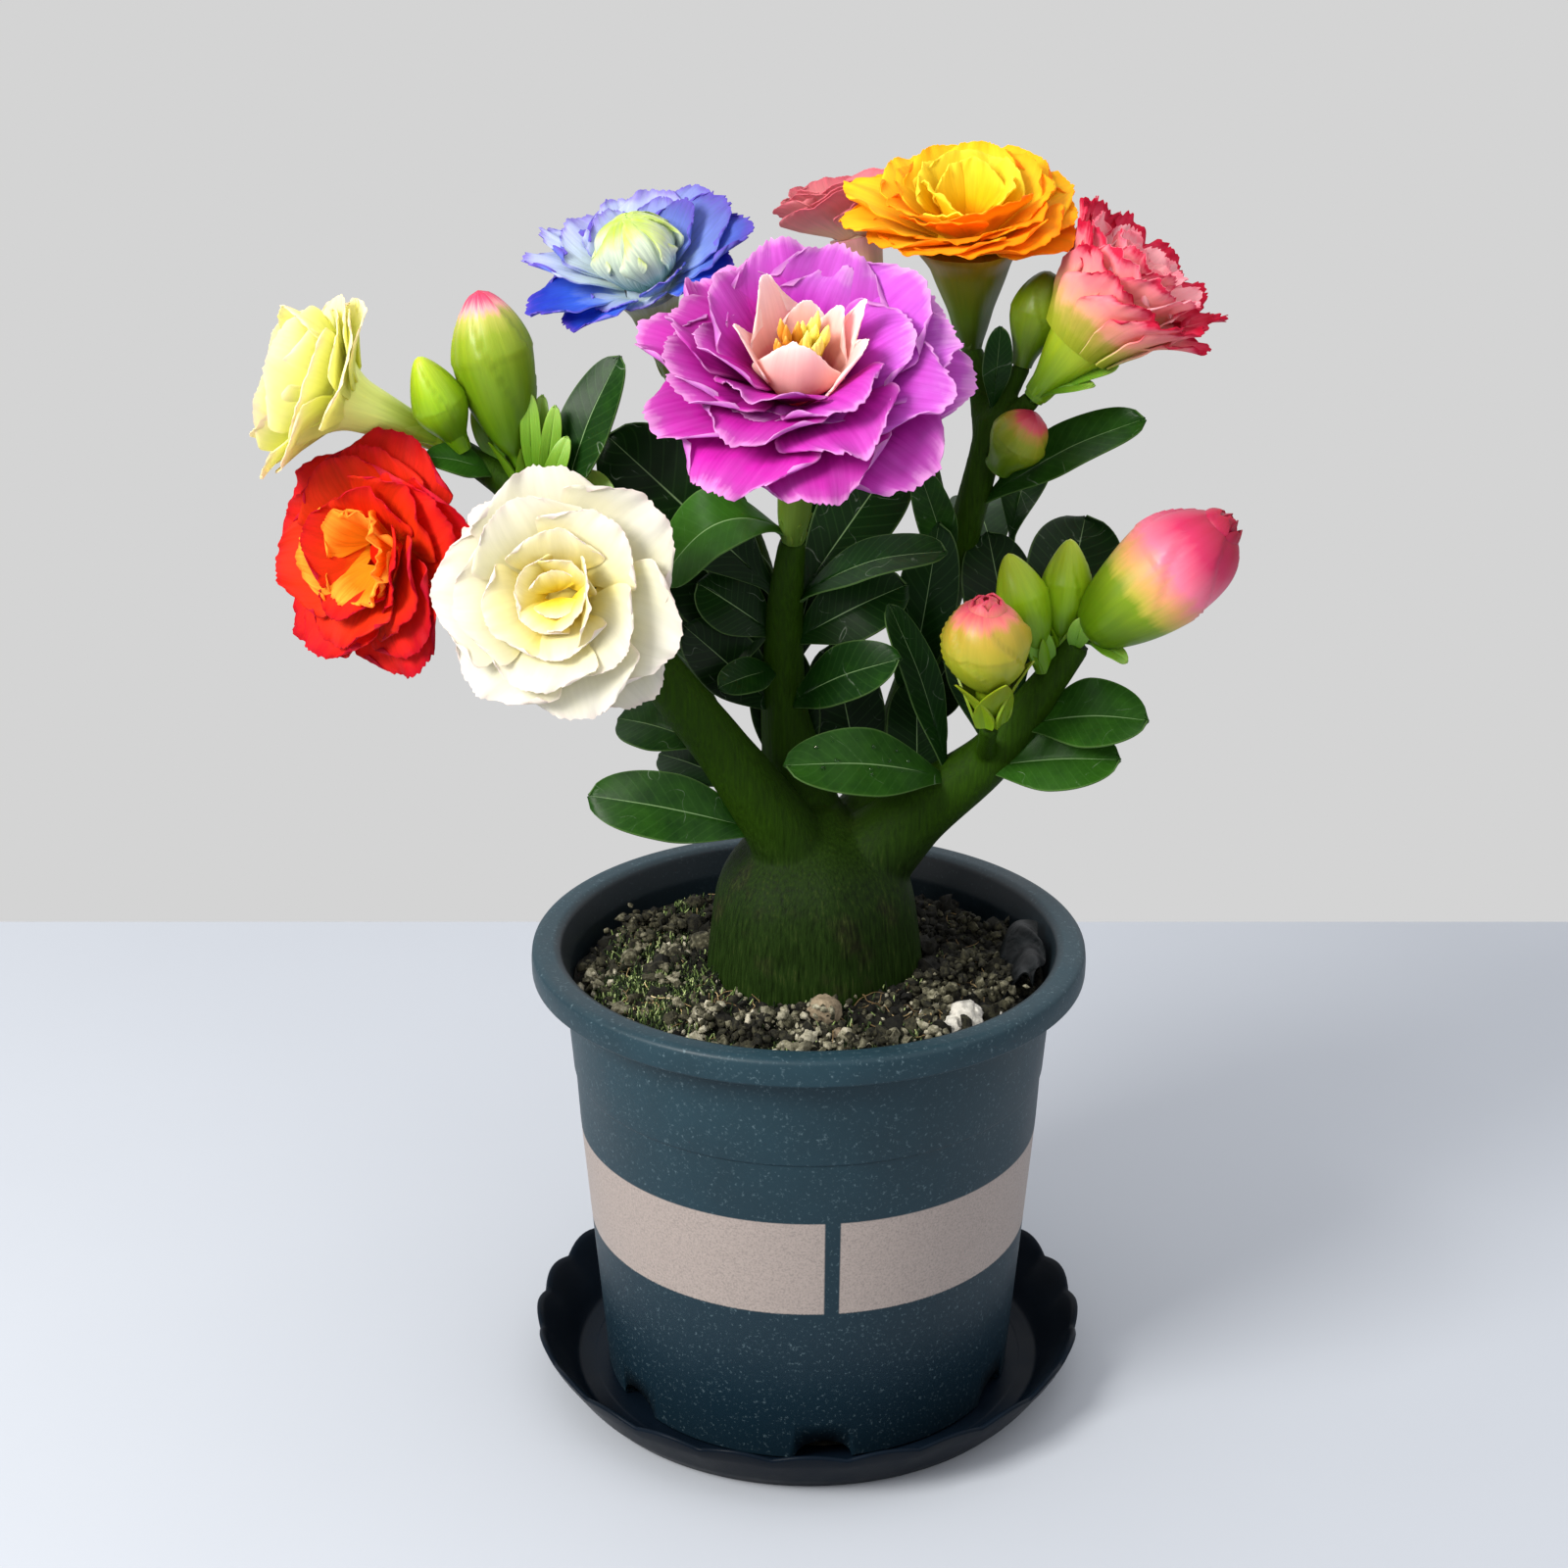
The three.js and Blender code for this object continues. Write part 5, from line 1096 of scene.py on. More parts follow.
# The crumbs' sizes: their share of all crumbs, how round they are cut, and the ranges of their size and shade.
CRUMB_SIZES = [
    (0.74, 1, (0.25, 0.8), (0.05, 0.95)), (0.22, 1, (0.8, 1.6), (0.1, 0.75)), (0.04, 2, (1.6, 3.0), (0.25, 0.75)),
]
CLODS = 54
CHIPS = [[-26, 6], [-44, 4], [-20, -42]]
FIBRE_TUFTS = [((-42, 12), 5), ((-38, -22), 6), ((34, -34), 6)]
# The moss: round which point it grows, how far it spreads, how many leaflets it has, and how high they stand.
MOSS = [
    ((-36, -30), 4.6, 300, 1.6), ((-30, -12), 4.0, 200, 1.8), ((-7, -47), 3.4, 160, 1.5), ((26, -14), 2.4, 50, 1.5),
    ((-45, -12), 4.0, 240, 2.0), ((-42, 8), 4.5, 260, 2.0), ((10, 40), 4.0, 120, 1.8), ((-30, 34), 3.4, 90, 1.8),
    ((-40, -14), 8, 700, 1.1), ((-20, -40), 8, 400, 1.1), ((16, -42), 7, 240, 1.1), ((-34, 20), 8, 260, 1.1),
    (None, 0, 240, 1.5),
]
# The clay pebble's lobes and the perlite grains: [x, y, z, size].
CLAY = [[3.5, -32, 113.4, 5.0], [0, -38.5, 109.8, 3.4], [6.5, -38, 109.6, 2.8]]
PERLITE = [
    [36.5, -30, 110, 4.4], [33.5, -33, 109.6, 3.6], [38.5, -27.5, 110.6, 3.0], [44.5, -25.5, 108.6, 1.8],
    [31, -43, 108.4, 1.3], [-20, -46, 109.4, 1.2], [38, -36, 108.6, 1.8], [27, -27, 110.4, 1.5],
    [24.5, -32, 110, 1.2], [30, -24, 110.6, 1.3], [13, -42, 109.4, 0.9], [-27, -38, 109.6, 1.0],
]
SOIL_COLOURS = {
    "peat": [(0.0, "#070705"), (0.3, "#17160F"), (0.55, "#3C3A2A"), (0.8, "#7C7864"), (1.0, "#AEA894")],
    "straw": [(0.0, "#241B11"), (0.5, "#6B5636"), (0.8, "#B29A6C"), (1.0, "#DCCBA0")],
    "moss": [(0.0, "#10190A"), (0.4, "#2C3C1C"), (0.75, "#64783E"), (1.0, "#B0BC80")],
    "clay": [(0.0, "#2E281E"), (0.5, "#6E614E"), (1.0, "#A8987E")],
    "perlite": [(0.0, "#7C7870"), (0.5, "#B8B4AA"), (1.0, "#DCD8CE")],
}


def soil_crumbs(random, total):
    """The loose crumbs, the porous clods that others have baked together in, and three flat chips."""
    crumbs = []
    for share, detail, sizes, tones in CRUMB_SIZES:
        count = int(total * share)
        places = on_soil(random, count, 20, 55.5)
        size = random.uniform(*sizes, count)
        places[:, 2] += size * random.uniform(0.0, 0.6, count)
        keep = np.hypot(places[:, 0] - STEM_X, places[:, 1]) > 25 + size
        # Painted light: paler towards the front and the left, where the key lamp falls, darker to the back and right.
        shades = random.uniform(*tones, count) ** 1.5 * (1 - 0.004 * places[:, 0] - 0.009 * places[:, 1])
        crumbs.append(scattered(random, detail, places[keep], size[keep], {"shade": shades[keep]}, (0.5, 1.2), 0.42))
    for _ in range(CLODS):
        middle = on_soil(random, 1, 31, 51.5)[0]
        count = int(random.integers(30, 56))
        size = random.uniform(0.4, 1.6, count)
        places = middle + random.normal(size=(count, 3)) * [2.5, 2.5, 1.5] + [0, 0, 1.6]
        # Painted light, as for the loose crumbs: paler towards the front and the left.
        painted_front_light = 1 - 0.003 * middle[0] - 0.006 * middle[1]
        shades = random.uniform(0.3, 0.85) * random.uniform(0.6, 1.05, count) * painted_front_light
        crumbs.append(scattered(random, 1, places, size, {"shade": shades}, (0.5, 1.1), 0.42))
    x, y = np.array(CHIPS, float).T
    chips = np.column_stack([x, y, soil_height(x, y) + 1.2])
    shades = {"shade": np.array([0.5, 0.6, 0.6])}
    return crumbs + [scattered(random, 2, chips, [4.6, 3.0, 3.2], shades, (0.3, 1.0), 0.16)]


def add_soil(soil):
    """The potting mix, and what lies loose on it."""
    random = np.random.default_rng(SEEDS["soil"])
    colours = SOIL_COLOURS
    mix = crumbly("peat_mix_crumbled", colours["peat"], 1.6, depth=0.7)
    add_piece("potting_mix", soil_ground(random), "potting_soil", mix, ["soil"], sharp=80)
    add_piece("crumbs", joined(soil_crumbs(random, soil.crumbs)), "potting_soil", mix, sharp=70)
    fibres = curled_strands(random, 150, None, 0, 8, 0.13, (0.15, 0.7))
    for around, count in FIBRE_TUFTS:
        fibres += curled_strands(random, count, around, 4, 10, 0.15, (0.6, 0.9))
    coir = crumbly("coir_fibre_shredded", colours["straw"], 1.2, 0.8, 0.1)
    add_piece("root_fibres", joined(fibres), "potting_soil", coir)
    moss = [leaflet for patch in MOSS for leaflet in tufts(random, *patch)]
    add_piece("moss", joined(moss), "potting_soil", crumbly("moss_grown", colours["moss"], 1.2, 0.75, 0.1))
    clay, perlite = np.array(CLAY), np.array(PERLITE)
    shades = {"shade": np.array([0.6, 0.5, 0.45])}
    lump = scattered(random, 4, clay[:, :3], clay[:, 3], shades, (0.8, 0.95), 0.06)
    fired = crumbly("clay_fired", colours["clay"], 2.2, 0.85, 0.5)
    add_piece("clay_lump", lump, "pebble", fired, ["clay_pebble"], sharp=80)
    shades = {"shade": random.uniform(0.5, 0.9, len(perlite))}
    grains = scattered(random, 3, perlite[:, :3], perlite[:, 3], shades, (0.6, 1.1), 0.24)
    expanded = crumbly("perlite_expanded", colours["perlite"], 1.0, 0.8, 0.5)
    add_piece("perlite_grains", grains, "perlite", expanded, ["perlite_lump"], sharp=80)
    add_piece("film_scrap", film_flap(), None, wrinkled_film(), sharp=80)


def film_flap():
    """A crumpled scrap of the black film that the pot was lined with, caught between the soil and the rim."""
    s, t = np.meshgrid(np.linspace(0, 1, 26), np.linspace(-1, 1, 22), indexing="ij")
    turn = np.radians(-6 + 15 * t + 5 * np.sin(3 * s))
    reach = 48.5 + 8.6 * s + 0.8 * np.sin(5 * t + 2 * s)
    z = soil_height(47.5, -5) + 0.8 + 7.5 * np.sin(s * 2.0) + 0.9 * np.sin(7 * t + 6 * s) * s + 1.4 * t * s
    middle = np.stack([reach * np.cos(turn), reach * np.sin(turn), z], axis=-1)
    return blade(middle, 0.35, {"shade": s})


def add_stem(plant):
    """The swollen foot and its limbs, grown together in one skin."""
    sides, levels = 72, 90
    stations = np.array(STEM, float)
    heights = np.linspace(stations[0, 0], stations[-1, 0], levels)
    turn = np.linspace(0, 2 * math.pi, sides, endpoint=False)
    radii = np.interp(heights, stations[:, 0], stations[:, 1])
    radii = np.convolve(np.pad(radii, 6, mode="edge"), np.ones(13) / 13, mode="valid")
    lobed = 1 + 0.03 * np.cos(3 * turn)[None] + 0.02 * np.cos(7 * turn + 0.02 * heights[:, None])
    middles = np.column_stack([np.full(levels, STEM_X), np.zeros(levels), heights])
    foot = skin(ring_points(middles, np.tile([0, 0, 1.0], (levels, 1)), radii, sides, lobed), {"along": 0.0})
    limbs = [tube(limb["points"], limb["radii"], 28, 70) for limb in LIMBS.values()]
    limbs += [tube(sprig["points"], SPRIG_RADII, 16, 40) for sprig in SPRIGS.values()]
    points, faces, _ = joined([foot, *limbs])
    rough = new_mesh("stem_skin", points, faces)
    piece = add_object("stem_and_limbs", rough, "green_bark", green_bark(plant), ["stem"])
    remesh = piece.modifiers.new("grown_together", "REMESH")
    remesh.mode = "VOXEL"
    remesh.voxel_size = 0.75 * MM
    smoothing = piece.modifiers.new("smoothed", "SMOOTH")
    smoothing.factor = 0.5
    smoothing.iterations = 12
    bake_modifiers(piece)
    mesh = piece.data
    count = len(mesh.vertices)
    where = np.zeros(count * 3, np.float32)
    mesh.vertices.foreach_get("co", where)
    where = where.reshape(-1, 3) / MM
    # The old foot is swollen and ridged, and the young limbs are smooth.
    young = smooth_step(138, 158, where[:, 2])
    turn = np.arctan2(where[:, 1], where[:, 0] - STEM_X)
    random = np.random.default_rng(SEEDS["stem"])
    ridges = sum(
        0.2 * np.sin(turn * k + where[:, 2] * random.uniform(-0.05, 0.05) + random.uniform(0, 6)) for k in (9, 14, 23)
    )
    out = unit(where - [STEM_X, 0, 0]) * [1, 1, 0]
    where += out * (ridges * (1 - young))[:, None]
    mesh.vertices.foreach_set("co", (where * MM).astype(np.float32).ravel())
    set_mark(mesh, "young", young)
    mesh.shade_smooth()
    return piece


def leaf_blade(start, tip, width, face_azimuth, face_elevation, arch, shade, random, thickness):
    """A leaf: a short stalk, widest past the middle, a round tip with a small point, folded along its midrib."""
    start, tip = np.array(start, float), np.array(tip, float)
    length = np.linalg.norm(tip - start)
    forward = unit(tip - start)
    face = direction(face_azimuth, face_elevation)
    up = unit(face - forward * (face @ forward))
    side = np.cross(forward, up)
    s = np.linspace(0, 1, LEAF_ROWS)[:, None]
    t = np.linspace(1, -1, LEAF_COLUMNS)[None]
    past = np.clip((s - 0.62) / 0.38, 0, 1)
    swell = smooth_step(-0.04, 0.62, s) * (1 - past**2.4) ** 0.5
    stalk = np.maximum(0.13 - 0.05 * s, 0.04)
    half = width / 2 * np.maximum(swell * 1.04, stalk * (1 - s) + 0.015)
    wave = 0.05 * width * np.sin(2 * math.pi * (1.6 * s + random.uniform()) + 1.2 * np.sign(t)) * t**2
    rise = arch * length * 4 * s * (1 - s) + 0.2 * half * np.abs(t) ** 1.4 + wave * s
    rib = -0.35 * np.exp(-((t / 0.05) ** 2)) * (1 - s)
    veins = 0.1 * np.sin(2 * math.pi * LEAF_VEINS * (s - VEIN_LEAN * np.abs(t))) * np.abs(t) * (1 - np.abs(t))
    droop = 0.03 * length * smooth_step(0.6, 1, s)
    middle = (
        start
        + forward * (length * s)[..., None]
        + up * (rise + rib + veins - droop)[..., None]
        + side * (half * t)[..., None]
    )
    thick = thickness * (1 - 0.55 * np.abs(t) ** 3) * (1 + 1.3 * (1 - s) ** 3 * (1 - np.abs(t)))
    return blade(middle, thick, {"along": s, "across": t, "shade": shade})


def add_drops(top):
    """Beads of water that stand on the upper side of the wet leaf."""
    random = np.random.default_rng(SEEDS["drops"])
    rows, columns = random.integers(16, 40, 13), random.integers(4, 21, 13)
    beads = scattered(random, 3, top[rows, columns], random.uniform(0.25, 0.75, 13), {}, (0.8, 1.0), 0.0)
    add_piece("water_drops", beads, None, water())


def add_leaves(plant):
    """Each leaf where its solid lies, the young leaves among them, and both twigs at the back."""
    finish = leaf_skin(plant)
    random = np.random.default_rng(SEEDS["leaves"])
    thickness = plant.leaf_thickness / MM

    def grown(limb, share, *rest):
        return leaf_blade(limb_point(LIMBS[limb]["points"], share), *rest, random, thickness)

    for name, row in LEAVES.items():
        shape = grown(*row)
        add_piece("blade_" + name, shape, "leaf", finish, ["leaf_" + name], sharp=60)
        if name == WET_LEAF:
            add_drops(shape[0][: LEAF_ROWS * LEAF_COLUMNS].reshape(LEAF_ROWS, LEAF_COLUMNS, 3))
    add_piece("small_leaves", joined([grown(*row) for row in SMALL_LEAVES]), "leaf", finish, sharp=60)
    for name, sprig in SPRIGS.items():
        blades = []
        for i, (azimuth, elevation, length) in enumerate(sprig["leaves"]):
            start = limb_point(sprig["points"], 0.55 + 0.2 * i)
            tip = start + direction(azimuth, elevation) * length
            blades.append(leaf_blade(start, tip, 0.42 * length, azimuth + 180, 60, 0.1, 0.3, random, thickness))
        add_piece("twig_" + name, joined(blades), "leaf", finish, ["sprig_" + name], sharp=60)


def bud_radius(share, widest, pointed, neck, belly):
    """A bud's radius, as a share of its widest: a neck, a round belly, and a blunt or drawn-out point.

    belly is how far below its widest the belly starts to swell from the neck, as a share of the length."""
    past = np.clip((share - widest) / (1 - widest), 0, 1)
    rise = np.clip((share - widest + belly) / belly, 0, 1)
    below = neck + (1 - neck) * np.sin(math.pi / 2 * rise) ** (1.8 if belly >= widest else 0.8)
    if neck > 0.5:
        below = below * np.sqrt(1 - 0.8 * np.clip(1 - share / 0.1, 0, 1) ** 2)
    blunt = np.sqrt(np.maximum(0, 1 - past**2.2)) * (1 - 0.12 * past) + 0.02
    drawn = (1 - past**1.5) * (1 - 0.2 * past) + 0.02
    return np.where(share < widest, below, blunt * (1 - pointed) + drawn * pointed)


def sepals(foot, axis, count, radius, length, width, lean, random, turn=0.0, tone=(0.15, 0.25)):
    """The pointed green leaflets round a bud's or a tube's foot."""
    made = []
    for i in range(count):
        out = out_from(axis, math.radians(turn + 360 * i / count + random.uniform(-8, 8)))
        side = np.cross(axis, out)
        s = np.linspace(0, 1, 14)[:, None]
        t = np.linspace(-1, 1, 9)[None]
        reach = length * random.uniform(0.85, 1.15)
        half = width / 2 * np.sin(math.pi * np.minimum(0.22 + 0.78 * s, 1)) ** 0.8 * (1 - 0.3 * s) + 0.05
        spread = radius + lean * reach * s**1.6 - 0.3 * half * t**2
        rise = reach * s * (1 + 0 * t)
        middle = foot + axis * rise[..., None] + out * spread[..., None] + side * (half * t)[..., None]
        marks = {"along": tone[0] + tone[1] * s, "across": t, "shade": random.uniform()}
        made.append(blade(middle, 0.7 - 0.3 * s, marks))
    return made


def bud_skin(axis, foot, bud, random):
    """A furled bud: petals wound round each other in a spiral, over their calyx."""
    rings, sides = 56, 60
    share = np.linspace(0, 1, rings)[:, None]
    turn = np.linspace(0, 2 * math.pi, sides, endpoint=False)[None]
    radius = bud["radius"] * bud_radius(share, bud["widest"], bud["pointed"], bud["neck"], bud["belly"])
    wound = turn + (1 - bud["pointed"]) * 2.6 * share + 0.4
    overlap = ((wound * 5 / (2 * math.pi)) % 1 - 0.5) * smooth_step(0.25, 0.7, share)
    depth = 0.1 * (1 - 0.5 * bud["pointed"])
    furl = 1 + depth * overlap + 0.02 * np.sin(3 * turn + 9 * share)
    bend = 0.05 * bud["length"] * share**2
    u, v = across_of(axis)
    middles = foot + axis * (bud["length"] * share) + u * bend * random.uniform(-0.6, 0.6)
    around = np.cos(turn)[..., None] * u + np.sin(turn)[..., None] * v
    points = middles[:, None] + around * (radius * furl)[..., None]
    across = 1 - 2 * np.abs(turn / math.pi - 1)
    marks = {"along": share, "across": across, "shade": random.uniform()}
    return skin(points, marks)


BUD_FINISHES = {
    "pink": [
        (0.0, "#426402"), (0.2, "#587802"), (0.34, "#749008"), (0.4, "#B4A83C"), (0.5, "#D89C60"), (0.64, "#E2708A"),
        (0.82, "#B82452"), (1.0, "#8C0424"),
    ],
    "tipped": [
        (0.0, "#44700A"), (0.25, "#6C8410"), (0.6, "#90941E"), (0.86, "#AC9030"), (0.92, "#D87468"), (1.0, "#C83054"),
    ],
    "tipped_olive": [
        (0.0, "#3E5E06"), (0.4, "#5C740A"), (0.72, "#7C861A"), (0.84, "#A47C34"), (0.9, "#C04850"), (1.0, "#A02040"),
    ],
    "crimson_tip": [
        (0.0, "#386004"), (0.35, "#4A6E06"), (0.62, "#64800C"), (0.8, "#80921C"), (0.88, "#A4A444"),
        (0.92, "#D89090"), (0.96, "#C44464"), (1.0, "#A8163C"),
    ],
    "green": [(0.0, "#3C6004"), (0.3, "#5C8406"), (0.65, "#80A20E"), (0.9, "#98AE1C"), (1.0, "#A8BA2C")],
    "bract": [(0.0, "#2C5206"), (0.4, "#4E7C10"), (0.8, "#6C9628"), (1.0, "#88AC48")],
    "olive": [(0.0, "#3A5404"), (0.3, "#526C06"), (0.65, "#6A800A"), (1.0, "#526A10")],
}


def add_buds():
    """The buds where their solids stand, each with the leaflets round its foot."""
    random = np.random.default_rng(SEEDS["buds"])
    finishes = {
        name: fleshy_skin("bud_grown_" + name, stops, ribs=9, roughness=0.4) for name, stops in BUD_FINISHES.items()
    }
    for name, row in BUDS.items():
        bud = dict(zip(BUD_KEYS, row))
        axis, foot = direction(bud["azimuth"], bud["elevation"]), np.array(bud["foot"], float)
        shapes = [bud_skin(axis, foot, bud, random)]
        big = bud["radius"]
        calyx = (0.26 * bud["length"], 0.42 * big + 0.8, 0.28)
        shapes += sepals(foot, axis, 5, 0.2 * big + 0.5, *LONG_SEPALS.get(name, calyx), random)
        # The tips of the petals stand crumpled on the top of a bud that is about to open.
        for radius, turn in ((0.42, 0.0), (0.22, 30.0)) if name in CRUMPLED_BUDS else ():
            top = foot + axis * bud["length"] * (0.985 - 0.1 * radius)
            shapes += sepals(top, axis, 6, radius * big, 0.26 * big, 0.5 * big, -0.5, random, turn, (0.9, 0.1))
        add_piece("furled_" + name, joined(shapes), "bud_skin", finishes[bud["finish"]], ["bud_" + name], sharp=60)
    bracts = [leaf_blade(*row, 0.08, random.uniform(), random, 0.6) for row in BRACTS]
    add_piece("bracts", joined(bracts), "bud_skin", finishes["bract"], sharp=60)


def petal_blade(petal, axis, throat, layer, thickness, ruffle, random):
    """One petal: it starts and curls as its solid does, and its rim is rounded, ruffled and finely toothed."""
    count_s, count_t = PETAL_ROWS, PETAL_COLUMNS
    s = np.linspace(0, 1, count_s)[:, None]
    t = np.linspace(-1, 1, count_t)[None]
    teeth = random.uniform(-1, 1, (1, count_t)) * 0.011 * petal.get("teeth", 1) + 0.02 * wander(
        random, 7, (t + 1) / 2,
    )
    base = petal.get("base", PETAL["foot"])
    along = s * (1 - petal.get("rounding", PETAL["rounding"]) * t * t * s - 0.07 * t**6 * s**2) + teeth * s**5
    angle = petal["open"] + petal["bend"] * along
    length = petal["length"]
    out = petal["foot"] + length * (math.cos(petal["open"]) - np.cos(angle)) / petal["bend"]
    up = petal["lift"] + length * (np.sin(angle) - math.sin(petal["open"])) / petal["bend"]
    widest = petal.get("widest", PETAL["widest"])
    past = np.clip((s - widest) / (1 - widest), 0, 1)
    outline = np.where(
        s < widest, base + (1 - base) * np.sin(math.pi / 2 * s / widest), 1 - PETAL["narrowing"] * past**2,
    )
    outline = outline * (1 - 0.9 * petal.get("point", 0) * past**1.4)
    side_teeth = 1 + random.uniform(-1, 1, (count_s, 1)) * 0.012
    half = petal["half_width"] * outline * 1.1 * side_teeth
    wave = petal["ripple"] * s * s * np.sin(PETAL["ripples"] * t + petal["phase"])
    phases = random.uniform(0, 2 * math.pi, 3)
    rim = ruffle * length * (
        0.55 * np.sin(6.4 * t + phases[0]) * s**3
        + 0.35 * np.sin(12.5 * t + phases[1]) * s**5
        + 0.16 * np.sin(23 * t + phases[2]) * s**8
    )
    sides = ruffle * length * 0.5 * np.sin(15 * s + phases[1]) * np.abs(t) ** 5 * s
    pleats = 0.09 * np.sin(9.5 * t + phases[2]) * np.sin(math.pi * np.minimum(s, 0.98))
    inward = petal.get("cup", PETAL["cup"]) * half * t * t + petal["tilt"] * half * t + wave + rim + sides + pleats
    radial = out_from(axis, petal["azimuth"])
    sideways = np.cross(axis, radial)
    middle = (
        throat
        + radial * (out - inward * np.cos(angle))[..., None]
        + axis * (up + inward * np.sin(angle))[..., None]
        + sideways * (half * t)[..., None]
    )
    edge = np.maximum(smooth_step(0.92, 1, s + 0 * t), smooth_step(0.93, 1, np.abs(t)) * smooth_step(0.3, 0.7, s))
    marks = {"along": s, "across": t, "shade": random.uniform(), "layer": layer, "rim": edge}
    return blade(middle, thickness * (1 - 0.5 * s), marks)


def single_petal(row):
    """A petal from [azimuth, length, half width, opening at the foot and tip, foot, lift, point]."""
    azimuth, length, half_width, opening, open_tip, foot, lift, point = row
    return {
        "azimuth": math.radians(azimuth), "open": math.radians(opening), "bend": math.radians(open_tip - opening),
        "length": length, "phase": 0.0, "half_width": half_width, "foot": foot, "lift": lift, "ripple": 0.0,
        "tilt": 0.1, "point": point, "cup": 0.42 if open_tip < opening - 20 else 0.16,
    }


def whorl_petals(whorl, order, draw):
    """The petals of one whorl, each a little unlike the next, and set between those of the whorl below."""
    count, length, half_width, opening, open_tip, foot, lift = whorl
    petals = []
    for i in range(count):
        azimuth = 2 * math.pi * (i + 0.5 * order) / count + 0.2 * (draw() - 0.5)
        bend = math.radians(open_tip - opening + 6 * (draw() - 0.5))
        reach = length * (0.93 + 0.14 * draw())
        phase = 2 * math.pi * draw()
        petals.append(
            {
                "azimuth": azimuth, "open": math.radians(opening), "bend": bend, "length": reach, "phase": phase,
                "half_width": half_width, "foot": foot, "lift": lift, "ripple": PETAL["ripple"] * length,
                "tilt": PETAL["tilt"],
            }
        )
    return petals


def round_body(foot, axis, stations, sides, marks):
    """A round body on an axis, from stations of [height above the foot, radius]."""
    stations = np.asarray(stations, float)
    middles = foot + axis * stations[:, :1]
    rings = ring_points(middles, np.tile(axis, (len(stations), 1)), stations[:, 1], sides)
    return skin(rings, marks)


